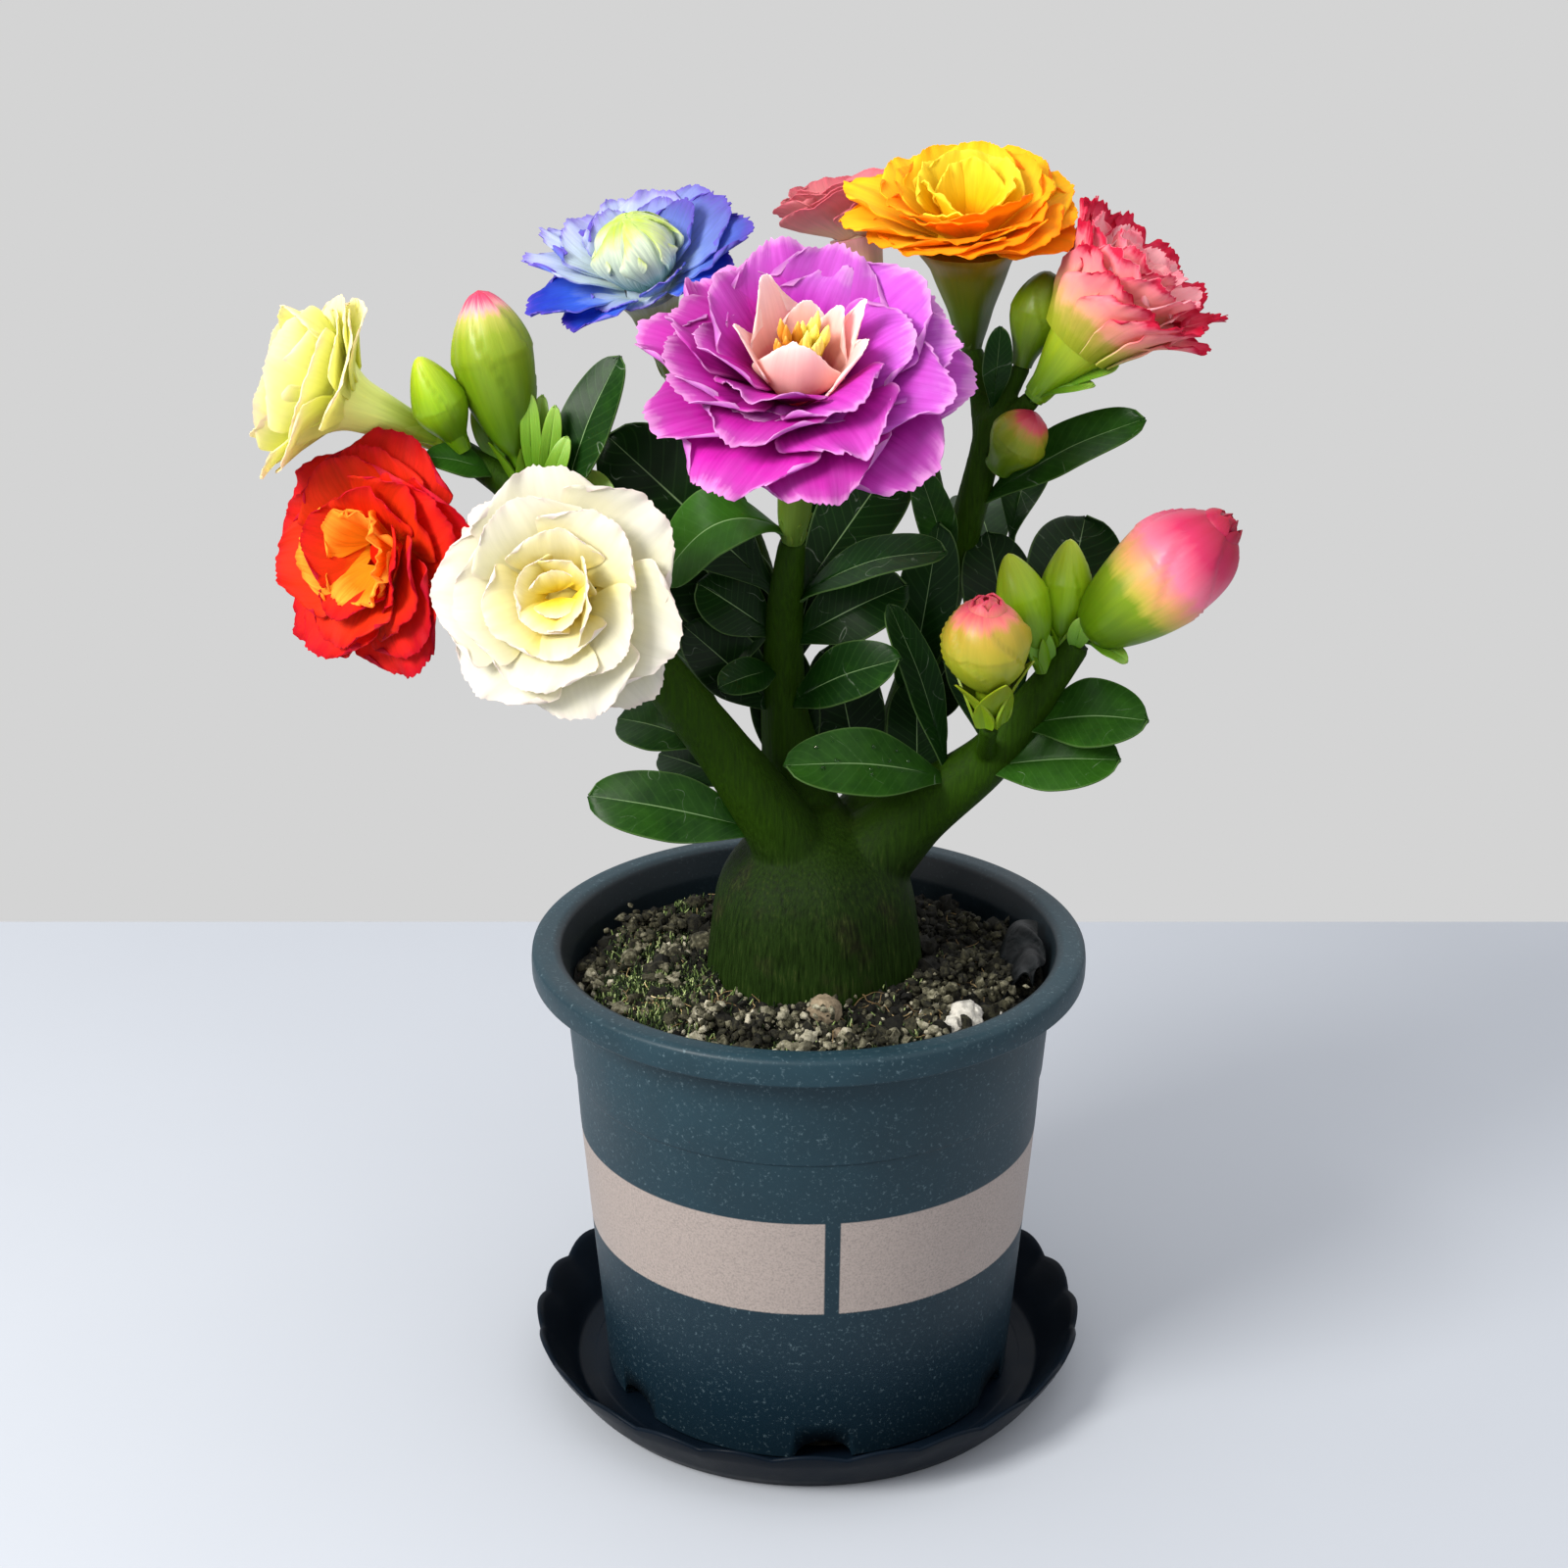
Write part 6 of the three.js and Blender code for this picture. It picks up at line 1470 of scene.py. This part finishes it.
# The petals' colours from foot to tip: of the outer petals, the inner ones and the backs, where None stands for
# the main colour that a user can change, and of the rim. rim_strength says how strong the rim's colour is and
# inner_rim how much of it the inner petals show, veins how strong the veins are, and flesh how much of the
# petal's colour the light that shows through it takes on. All are shares of 1.
PETAL_COLOURS = {
    "purple": {
        "outer": [(0.0, "#84064C"), (0.3, "#A8107C"), (0.65, None), (0.92, "#CC4CB8"), (1.0, "#D87CC8")],
        "inner": [(0.0, "#A81480"), (0.25, "#C028BC"), (0.55, "#D044D0"), (0.88, "#D86CE0"), (1.0, "#E49CE8")],
        "back": [(0.0, "#A83088"), (0.6, "#BC48B4"), (1.0, "#CC74CC")], "rim": "#F4BCEC", "rim_strength": 0.5,
        "veins": 0.7,
    },
    "cream": {
        "outer": [(0.0, "#F4DC58"), (0.22, "#F2EA9C"), (0.5, "#EEECCC"), (1.0, None)],
        "inner": [(0.0, "#F4C81C"), (0.35, "#FAE454"), (0.7, "#FAEC98"), (1.0, "#F8F0C8")],
        "back": [(0.0, "#DCD498"), (0.5, "#E6E0CC"), (1.0, "#ECE6E0")], "rim": "#F0DCD8", "rim_strength": 0.4,
        "veins": 0.25,
    },
    "red": {
        "outer": [(0.0, "#F02204"), (0.35, None), (0.75, "#F0281E"), (1.0, "#C80A1E")],
        "inner": [(0.0, "#FF8A10"), (0.35, "#F04810"), (0.75, "#E83610"), (1.0, "#E42818")],
        "back": [(0.0, "#E85038"), (0.6, "#E83C44"), (1.0, "#CC1030")], "rim": "#B8082A", "rim_strength": 0.4,
        "flesh": 0.75,
    },
    "yellow": {
        "outer": [(0.0, "#ECEC44"), (0.3, None), (0.7, "#F8F8B4"), (1.0, "#FCFCD4")],
        "inner": [(0.0, "#ECF040"), (0.5, "#F6F880"), (1.0, "#FAFCAC")],
        "back": [(0.0, "#ECEC88"), (0.35, "#F4F48C"), (0.7, "#F6F4A0"), (0.9, "#F8ECB4"), (1.0, "#F4DEC4")],
        "rim": "#F4DCC8", "rim_strength": 0.3, "veins": 0.3, "flesh": 0.8,
    },
    "blue": {
        "outer": [(0.0, "#D0E4F4"), (0.22, "#84A4F0"), (0.5, None), (0.85, "#2840BC"), (1.0, "#5044B8")],
        "inner": [(0.0, "#DCECE0"), (0.3, "#DCECE8"), (0.62, "#D4E2EC"), (0.86, "#C4CCEC"), (1.0, "#A8A0DC")],
        "back": [(0.0, "#C8D8D4"), (0.4, "#A8BCE8"), (0.8, "#7488E4"), (1.0, "#7868D0")], "rim": "#7858D0",
        "rim_strength": 0.45,
    },
    "orange": {
        "outer": [(0.0, "#FFCC18"), (0.35, "#FFBC14"), (0.7, None), (1.0, "#FF980C")],
        "inner": [(0.0, "#F4D42C"), (0.5, "#F8DC30"), (0.85, "#FCDC2C"), (1.0, "#FFD424")],
        "back": [(0.0, "#F0C02C"), (0.6, "#FFA818"), (1.0, "#F4840C")], "rim": "#FA9C10", "rim_strength": 0.2,
        "veins": 0.5, "flesh": 0.65,
    },
    "coral": {
        "outer": [
            (0.0, "#E8D880"), (0.2, "#FFCCB8"), (0.5, None), (0.7, "#FC8C98"), (0.84, "#E23E60"), (1.0, "#C81438"),
        ],
        "inner": [(0.0, "#F4E4B0"), (0.3, "#FFD8D0"), (0.7, "#FFCCD0"), (0.95, "#FFC0C8"), (1.0, "#FC98A8")],
        "back": [
            (0.0, "#9CAC28"), (0.16, "#A6B234"), (0.32, "#C4BA58"), (0.48, "#F4BC94"), (0.68, "#FCACA4"),
            (0.88, "#F68C98"), (0.95, "#E05874"), (1.0, "#C82044"),
        ],
        "rim": "#C01436", "rim_strength": 0.5, "inner_rim": 0.0, "veins": 0.5, "flesh": 0.45,
    },
    "dusty": {
        "outer": [(0.0, "#ECD0B0"), (0.35, "#E89890"), (0.7, None), (1.0, "#D05C6C")],
        "inner": [(0.0, "#ECD49C"), (0.4, "#E89C9C"), (1.0, "#D87480")],
        "back": [(0.0, "#E8CCA8"), (0.5, "#EAA8A8"), (1.0, "#D87480")], "rim": "#C85468", "rim_strength": 0.3,
        "flesh": 0.6,
    },
}


def heart_colours(stops, rim, **more):
    """The colours of a heart's petals, which are the same on every side."""
    return {"outer": stops, "inner": stops, "back": stops, "rim": rim, **more}


HEART_COLOURS = {
    "purple": heart_colours(
        [(0.0, "#E02C64"), (0.14, "#F47894"), (0.34, "#FFCCC4"), (0.8, "#FFDCD4"), (1.0, "#FFE4E0")], "#FFF2EE",
        veins=0.25,
    ),
    "red": heart_colours([(0.0, "#F8B020"), (0.5, "#FF9418"), (1.0, "#FFC040")], "#F25A14", rim_strength=0.5),
    "blue": heart_colours(
        [
            (0.0, "#6CBCB8"), (0.16, "#A4D4CC"), (0.34, "#D8EAE0"), (0.68, "#E6F0DC"), (0.82, "#DCE8A0"),
            (1.0, "#C8E058"),
        ],
        "#E8F0D4", rim_strength=0.3, veins=1.6,
    ),
    "orange": heart_colours(
        [(0.0, "#FFB80C"), (0.4, "#F8D418"), (1.0, "#FAE640")], "#FFEE60", rim_strength=0.3, veins=0.5,
    ),
    "coral": heart_colours(
        [(0.0, "#F8E0B0"), (0.4, "#FFC4C4"), (0.85, "#FFC0C4"), (1.0, "#FCA4B0")], "#F48C9C", rim_strength=0.3,
        flesh=0.5,
    ),
}
HEART_SLOTS = {
    "purple": "heart_pink", "red": "heart_amber", "blue": "heart_mint", "orange": "heart_gold", "coral": "heart_pink",
}


def flower_tube(axis, throat, bloom, random):
    """A bloom's tube: a slim foot in its calyx, five soft ridges, and a trumpet that opens up to the petals."""
    mouth, reach = bloom["throat"], bloom["tube"]
    stations = [[-reach, 2.4], [6 - reach, 0.2 * mouth + 2.2], [-0.62 * reach, 0.36 * mouth + 1.5],
                [-0.35 * reach, 0.7 * mouth + 0.6], [-0.15 * reach, 0.92 * mouth], *bloom["flare"]]
    stations = np.array(stations)
    share = np.linspace(0, 1, 44)
    height = -reach + (reach + stations[-1, 0]) * share
    radius = np.interp(height, stations[:, 0], stations[:, 1])
    radius = np.convolve(np.pad(radius, 3, mode="edge"), np.ones(7) / 7, mode="valid")
    turn = np.linspace(0, 2 * math.pi, 50, endpoint=False)
    ridged = 1 + 0.05 * np.cos(5 * turn)[None] * smooth_step(0.1, 0.5, share)[:, None] * (1 - 0.5 * share[:, None])
    rings = ring_points(throat + axis * height[:, None], np.tile(axis, (44, 1)), radius, 50, ridged)
    marks = {"along": share[:, None], "across": 1 - 2 * np.abs(turn / math.pi - 1)[None], "shade": 0.4}
    foot = throat - axis * reach
    return [skin(rings, marks), *sepals(foot + axis * 1.0, axis, 5, 2.4, 8.5, 5.2, 0.2, random)]


TUBE_STOPS = {
    "purple": [(0.0, "#4A6420"), (0.4, "#5A7024"), (0.62, "#90A078"), (1.0, "#C4C8B4")],
    "cream": [(0.0, "#5E8A24"), (0.5, "#A8B84C"), (1.0, "#E0D890")],
    "red": [(0.0, "#5E7A24"), (0.5, "#B88A3C"), (1.0, "#C84A20")],
    "yellow": [(0.0, "#5C9410"), (0.3, "#A4BE34"), (0.62, "#E4EC80"), (1.0, "#ECEC88")],
    "blue": [(0.0, "#42581A"), (0.5, "#66702A"), (0.85, "#7C8048"), (1.0, "#9C9C90")],
    "orange": [(0.0, "#2C4204"), (0.4, "#465806"), (0.75, "#5C5C08"), (1.0, "#8C680C")],
    "coral": [(0.0, "#548008"), (0.4, "#76980E"), (0.7, "#8EA41A"), (1.0, "#9CAC28")],
    "dusty": [(0.0, "#5E7A24"), (0.5, "#9A8A50"), (1.0, "#C88888")],
}


# The stamens' colours: the left half of the ramp for those that are still yellow, the right half for the ripe.
STAMEN_STOPS = [
    (0.0, "#C8B030"), (0.3, "#E8D040"), (0.46, "#F4E878"), (0.5, "#8A3418"), (0.8, "#C07018"), (0.92, "#D8902C"),
    (1.0, "#F0C060"),
]


def stamen_tuft(axis, throat, count, random):
    """Stamens: slim filaments that lean out from a pad, each with a long anther that ends in a hair."""
    foot = throat + axis * 7.5
    marks = {"along": [[0.0], [0.1], [0.1]], "across": 0.0, "shade": 0.5}
    made = [round_body(foot, axis, [[0, 2.6], [1.0, 2.5], [1.6, 1.2]], 24, marks)]
    for i in range(count):
        out = out_from(axis, math.radians(137.5 * i))
        reach = 0.42 * 2.6 * math.sqrt(i % 13)
        lean = 1.15 * reach + 0.6
        top = 13 * random.uniform(0.82, 1.08)
        bend = foot + axis * 0.45 * top + out * lean
        line = np.array([foot + axis * 0.8 + out * reach, bend, foot + axis * top + out * lean * 1.25])
        share = np.linspace(0, 1, 16)
        middles = limb_line(line, share)
        radius = 0.32 + 0.8 * np.exp(-(((share - 0.76) / 0.15) ** 2)) - 0.22 * smooth_step(0.9, 1, share)
        rings = ring_points(middles, unit(np.gradient(middles, axis=0)), radius, 10)
        # Those on the left are brown and ripe, and those on the right are still yellow.
        tone = 0.5 * (out[0] + random.uniform(-0.3, 0.3) < 0)
        marks = {"along": tone + 0.47 * share[:, None], "across": random.uniform(), "shade": 0.5}
        made.append(skin(rings, marks))
    return made


def bloom_petals(bloom, axis, draw, random):
    """The petals round a bloom's heart, each with its tone: its whorls, those between them, and its single ones."""
    lean = np.array(bloom.get("lean", [0, 0, 0]), float)
    whorls = bloom.get("whorls", [])
    whorls = [(whorl, order, order / max(len(whorls) - 1, 1), draw) for order, whorl in enumerate(whorls)]
    between = enumerate(bloom.get("more_whorls", []))
    whorls += [(whorl, order + 0.5, 0.3 + 0.35 * order, random.random) for order, whorl in between]
    for whorl, order, layer, draw in whorls:
        for petal in whorl_petals(whorl, order, draw):
            petal["length"] *= 1 + bloom.get("grow", 0) * math.cos(petal["azimuth"])
            tone = bloom.get("depth", 1.0) * layer + lean @ out_from(axis, petal["azimuth"])
            yield petal, float(np.clip(tone, 0, 1))
    for *row, tone in bloom.get("petals", []):
        yield single_petal(row), tone


def bloom_core(bloom, axis, throat):
    """The round core that closes the trumpet's mouth under the petals."""
    mouth = bloom["throat"]
    foot = bloom.get("foot", mouth - 1)
    marks = {"along": [[0.0], [0.0], [0.05]], **dict.fromkeys(("across", "shade", "layer", "rim"), 0.0)}
    core = round_body(throat, axis, [[-2.8, mouth - 0.4], [0, foot - 0.2], [CORE_TOP, foot - 1.4]], 40, marks)
    core[2]["side"] = np.ones(len(core[0]))
    return core


def add_blooms(blooms):
    """Each bloom: its tube, its whorls of petals, and the upright heart and stamens where it has them."""
    thickness = blooms.petal_thickness / MM
    stamen_finish = fleshy_skin("stamen_grown", STAMEN_STOPS, ribs=3, roughness=0.6)
    for seed, (name, bloom) in enumerate(BLOOMS.items(), SEEDS["blooms"]):
        random = np.random.default_rng(seed)
        axis = direction(bloom["azimuth"], bloom["elevation"])
        start = np.array(bloom.get("start", LIMBS[bloom["limb"]]["points"][-1]), float)
        throat = start + axis * bloom["tube"]
        finish = fleshy_skin("flower_tube_grown_" + name, TUBE_STOPS[name], ribs=12)
        trumpet = joined(flower_tube(axis, throat, bloom, random))
        add_piece("trumpet_" + name, trumpet, "tube_skin", finish, ["tube_" + name])
        own = {key: bloom[key] for key in ("teeth", "base", "rounding", "widest", "cup") if key in bloom}
        ruffle = blooms.ruffle * bloom.get("ruffle", 1)
        petals = [
            petal_blade(petal | own, axis, throat, tone, thickness, ruffle, random)
            for petal, tone in bloom_petals(bloom, axis, part_draws(seed).__next__, random)
        ]
        petals.append(bloom_core(bloom, axis, throat))
        finish = petal_skin("petal_grown_" + name, PETAL_COLOURS[name], list(getattr(blooms, name)))
        add_piece("bloom_" + name, joined(petals), "petal_" + name, finish, ["petals_" + name], sharp=75)
        if "heart" in bloom:
            own = bloom.get("heart_shape", {})
            ruffle = blooms.ruffle * bloom["heart_ruffle"]
            petals = [
                petal_blade(single_petal(row) | own, axis, throat, 0.0, thickness * 1.3, ruffle, random)
                for row in bloom["heart"]
            ]
            finish = petal_skin("heart_petal_grown_" + name, HEART_COLOURS[name])
            add_piece("heart_of_" + name, joined(petals), HEART_SLOTS[name], finish, ["heart_" + name], sharp=75)
        if "stamens" in bloom:
            tuft = joined(stamen_tuft(axis, throat, bloom["stamens"], random))
            add_piece("tuft_" + name, tuft, "stamen", stamen_finish, ["stamens_" + name], sharp=75)


# ---- The stage: a pale floor that ends behind the plant, a pale room, and soft light from the front left ----

FLOOR_HALF_WIDTH = 1.6
FLOOR_NEAR_EDGE = -0.9
FLOOR_FAR_EDGE = 0.272  # the floor's far edge shows in the photograph as a soft step in the backdrop
CENTRE = (0.0, 0.0, 0.14)
# The lamps: place and size. The fill lamp has a share of the key lamp's power.
KEY_LAMP = (-0.7, -0.58, 0.79), 0.42
FILL_LAMP = (0.9, -0.7, 0.7), 0.9
FILL_SHARE = 0.06


def add_camera():
    """The photograph's camera, as the ellipses of the rim, the pot's foot and the saucer give it."""
    camera = put_in_scene("camera", bpy.data.cameras.new("camera"))
    camera.data.sensor_width = SENSOR_MM
    camera.data.lens = FOCAL_PIXELS * SENSOR_MM / IMAGE_PIXELS
    camera.location = [c * MM for c in CAMERA_PLACE]
    camera.rotation_euler = (math.radians(90 - CAMERA_PITCH), 0, 0)
    bpy.context.scene.camera = camera


def add_lamp(name, place, size, watts, colour):
    """A soft lamp that faces the middle of the plant."""
    lamp = bpy.data.lights.new(name, "AREA")
    lamp.size = size
    lamp.energy = watts
    lamp.color = linear(colour)
    holder = put_in_scene(name, lamp)
    holder.location = place
    aim = np.array(CENTRE) - np.array(place)
    flat = math.hypot(aim[0], aim[1])
    holder.rotation_euler = (math.atan2(flat, -aim[2]), 0, math.atan2(aim[1], aim[0]) - math.pi / 2)


def add_room(stage):
    """The world: an even pale grey all round, which stands for the wall and fills the shadows."""
    world = bpy.data.worlds.new("pale_room")
    world.use_nodes = True
    add, nodes = partial(add_node, world.node_tree), world.node_tree.nodes
    set_inputs(nodes["Background"], {"Color": [*stage.wall, 1]})
    # The lamps of the room are above, so what falls from there is brighter than what comes from the sides.
    way = add("SeparateXYZ", {"Vector": add("TexCoord")})
    height = add("MapRange", {0: way.outputs["Z"], 1: -0.2, 2: 1.0})
    tones = [(0.0, "#8C8E92"), (0.25, "#B4B5B8"), (0.7, "#F4F5F8"), (1.0, "#FFFFFF")]
    tone = add("ValToRGB", {"Fac": height}, tones)
    light = add("Background", {"Color": tone, "Strength": stage.room_light})
    seen = add("LightPath").outputs["Is Camera Ray"]
    both = add("MixShader", {0: seen, 1: light, 2: nodes["Background"]})
    set_inputs(nodes["World Output"], {"Surface": both})
    bpy.context.scene.world = world
    bpy.context.scene.view_settings.view_transform = "Standard"


def add_floor(stage):
    """A slab of paper that ends a little behind the plant."""
    x, near, far = FLOOR_HALF_WIDTH, FLOOR_NEAR_EDGE, FLOOR_FAR_EDGE
    points = [(-x, near, 0), (x, near, 0), (x, far, 0), (-x, far, 0)]
    points += [(a, b, -0.02) for a, b, _ in points]
    faces = [(0, 1, 2, 3), (7, 6, 5, 4), (0, 4, 5, 1), (1, 5, 6, 2), (2, 6, 7, 3), (3, 7, 4, 0)]
    mesh = bpy.data.meshes.new("floor")
    mesh.from_pydata(points, [], faces)
    mesh.materials.append(stage_paper(stage.floor))
    put_in_scene("floor", mesh)


# ---- What a user can change, and the operators that build each piece ----


def colour_property(name, description, code):
    """A colour that a user can change, which starts as an sRGB hex code."""
    return FloatVectorProperty(
        name=name, description=description, subtype="COLOR", default=linear(code), min=0, max=1,
    )


class StageSettings(bpy.types.PropertyGroup):
    floor: colour_property("Floor", "Colour of the paper that the saucer stands on", "#A6AAB1")
    wall: colour_property("Wall", "Colour of the room behind the plant", "#D4D4D4")
    room_light: FloatProperty(name="Room light", description="Strength of the even light", default=1.38, min=0)
    key_light: FloatProperty(
        name="Key light", description="Power of the soft lamp at the front left", default=17.5, min=0, unit="POWER",
    )


class PotSettings(bpy.types.PropertyGroup):
    plastic: colour_property("Pot", "Colour of the pot's plastic", "#18323C")
    saucer: colour_property("Saucer", "Colour of the saucer's plastic", "#060D15")
    band: colour_property("Band", "Colour of the printed band", "#8D827C")
    band_low: FloatProperty(
        name="Band foot", description="Height of the band's lower edge", default=45.0 * MM, unit="LENGTH", precision=4
    )
    band_high: FloatProperty(
        name="Band top", description="Height of the band's upper edge", default=70.5 * MM, unit="LENGTH", precision=4,
    )


class SoilSettings(bpy.types.PropertyGroup):
    crumbs: IntProperty(name="Crumbs", description="How many loose crumbs lie on the soil", default=3800, min=0)


class PlantSettings(bpy.types.PropertyGroup):
    bark: colour_property("Bark", "Colour of the swollen foot", "#142306")
    bark_fibre: colour_property("Bark fibres", "Colour of the dry fibres on the foot", "#2F3617")
    bark_young: colour_property("Young bark", "Colour of the limbs", "#203803")
    # The dark and lit leaf colours are one green, painted shaded and painted lit.
    leaf_dark: colour_property("Dark leaves", "Colour of the leaves in the middle of the plant", "#0D2A07")
    leaf_lit: colour_property("Lit leaves", "Colour of the outermost leaves", "#3E721C")
    leaf_rib: colour_property("Leaf ribs", "Colour of each leaf's midrib", "#86A470")
    leaf_thickness: FloatProperty(
        name="Leaf thickness", description="Thickness of the leaves", default=0.8 * MM, unit="LENGTH", precision=5,
    )


class BloomSettings(bpy.types.PropertyGroup):
    purple: colour_property("Purple bloom", "Main colour of its petals", "#DC2CBC")
    cream: colour_property("Cream bloom", "Main colour of its petals", "#EDEAE0")
    red: colour_property("Red bloom", "Main colour of its petals", "#E42406")
    yellow: colour_property("Yellow bloom", "Main colour of its petals", "#F4F6A0")
    blue: colour_property("Blue bloom", "Main colour of its petals", "#3C68DC")
    orange: colour_property("Orange bloom", "Main colour of its petals", "#FFB41C")
    coral: colour_property("Coral bloom", "Main colour of its petals", "#FFB4B4")
    dusty: colour_property("Dusty rose bloom", "Main colour of its petals", "#E08486")
    ruffle: FloatProperty(
        name="Ruffle", description="How far the rims ruffle, as a share of a petal", default=0.05, min=0,
    )
    petal_thickness: FloatProperty(
        name="Petal thickness", description="Thickness at a petal's foot", default=0.5 * MM, unit="LENGTH",
        precision=5,
    )


class DESERT_ROSE_OT_add_stage(bpy.types.Operator):
    """Adds the floor, the room and the lamps"""

    bl_idname = "desert_rose.add_stage"
    bl_label = "Add stage"

    def execute(self, context):
        stage = context.scene.desert_rose_stage
        add_room(stage)
        add_floor(stage)
        add_lamp("key_lamp", *KEY_LAMP, stage.key_light, "#FFFDF8")
        add_lamp("fill_lamp", *FILL_LAMP, stage.key_light * FILL_SHARE, "#F6F8FF")
        return {"FINISHED"}


class DESERT_ROSE_OT_add_saucer(bpy.types.Operator):
    """Adds the scalloped saucer"""

    bl_idname = "desert_rose.add_saucer"
    bl_label = "Add saucer"

    def execute(self, context):
        add_saucer(context.scene.desert_rose_pot)
        return {"FINISHED"}


class DESERT_ROSE_OT_add_pot(bpy.types.Operator):
    """Adds the grower's pot with its printed band"""

    bl_idname = "desert_rose.add_pot"
    bl_label = "Add pot"

    def execute(self, context):
        add_pot(context.scene.desert_rose_pot)
        return {"FINISHED"}


class DESERT_ROSE_OT_add_soil(bpy.types.Operator):
    """Adds the potting mix with its crumbs, moss, fibres and grains"""

    bl_idname = "desert_rose.add_soil"
    bl_label = "Add soil"

    def execute(self, context):
        add_soil(context.scene.desert_rose_soil)
        return {"FINISHED"}


class DESERT_ROSE_OT_add_stem(bpy.types.Operator):
    """Adds the swollen stem with its limbs"""

    bl_idname = "desert_rose.add_stem"
    bl_label = "Add stem"

    def execute(self, context):
        add_stem(context.scene.desert_rose_plant)
        return {"FINISHED"}


class DESERT_ROSE_OT_add_leaves(bpy.types.Operator):
    """Adds the leaves and the leafy twigs"""

    bl_idname = "desert_rose.add_leaves"
    bl_label = "Add leaves"

    def execute(self, context):
        add_leaves(context.scene.desert_rose_plant)
        return {"FINISHED"}


class DESERT_ROSE_OT_add_buds(bpy.types.Operator):
    """Adds the buds"""

    bl_idname = "desert_rose.add_buds"
    bl_label = "Add buds"

    def execute(self, context):
        add_buds()
        return {"FINISHED"}


class DESERT_ROSE_OT_add_blooms(bpy.types.Operator):
    """Adds the eight open blooms"""

    bl_idname = "desert_rose.add_blooms"
    bl_label = "Add blooms"

    def execute(self, context):
        add_blooms(context.scene.desert_rose_blooms)
        return {"FINISHED"}


OPERATORS = (
    DESERT_ROSE_OT_add_stage, DESERT_ROSE_OT_add_saucer, DESERT_ROSE_OT_add_pot, DESERT_ROSE_OT_add_soil,
    DESERT_ROSE_OT_add_stem, DESERT_ROSE_OT_add_leaves, DESERT_ROSE_OT_add_buds, DESERT_ROSE_OT_add_blooms,
)
SETTINGS = {
    "desert_rose_stage": StageSettings, "desert_rose_pot": PotSettings, "desert_rose_soil": SoilSettings,
    "desert_rose_plant": PlantSettings, "desert_rose_blooms": BloomSettings,
}


class VIEW3D_PT_desert_rose(bpy.types.Panel):
    bl_label = "Desert rose"
    bl_space_type = "VIEW_3D"
    bl_region_type = "UI"
    bl_category = "Desert Rose"

    def draw(self, context):
        for kind in OPERATORS:
            self.layout.operator(kind.bl_idname)
        for place, group in SETTINGS.items():
            settings = getattr(context.scene, place)
            for name in group.__annotations__:
                self.layout.prop(settings, name)


def register():
    for kind in (*SETTINGS.values(), *OPERATORS, VIEW3D_PT_desert_rose):
        bpy.utils.register_class(kind)
    for place, group in SETTINGS.items():
        setattr(bpy.types.Scene, place, PointerProperty(type=group))


def unregister():
    for place in SETTINGS:
        delattr(bpy.types.Scene, place)
    for kind in reversed((*SETTINGS.values(), *OPERATORS, VIEW3D_PT_desert_rose)):
        bpy.utils.unregister_class(kind)


def main():
    register()
    add_camera()
    for kind in OPERATORS:
        group, name = kind.bl_idname.split(".")
        getattr(getattr(bpy.ops, group), name)()
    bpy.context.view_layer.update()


if __name__ == "__main__":
    main()
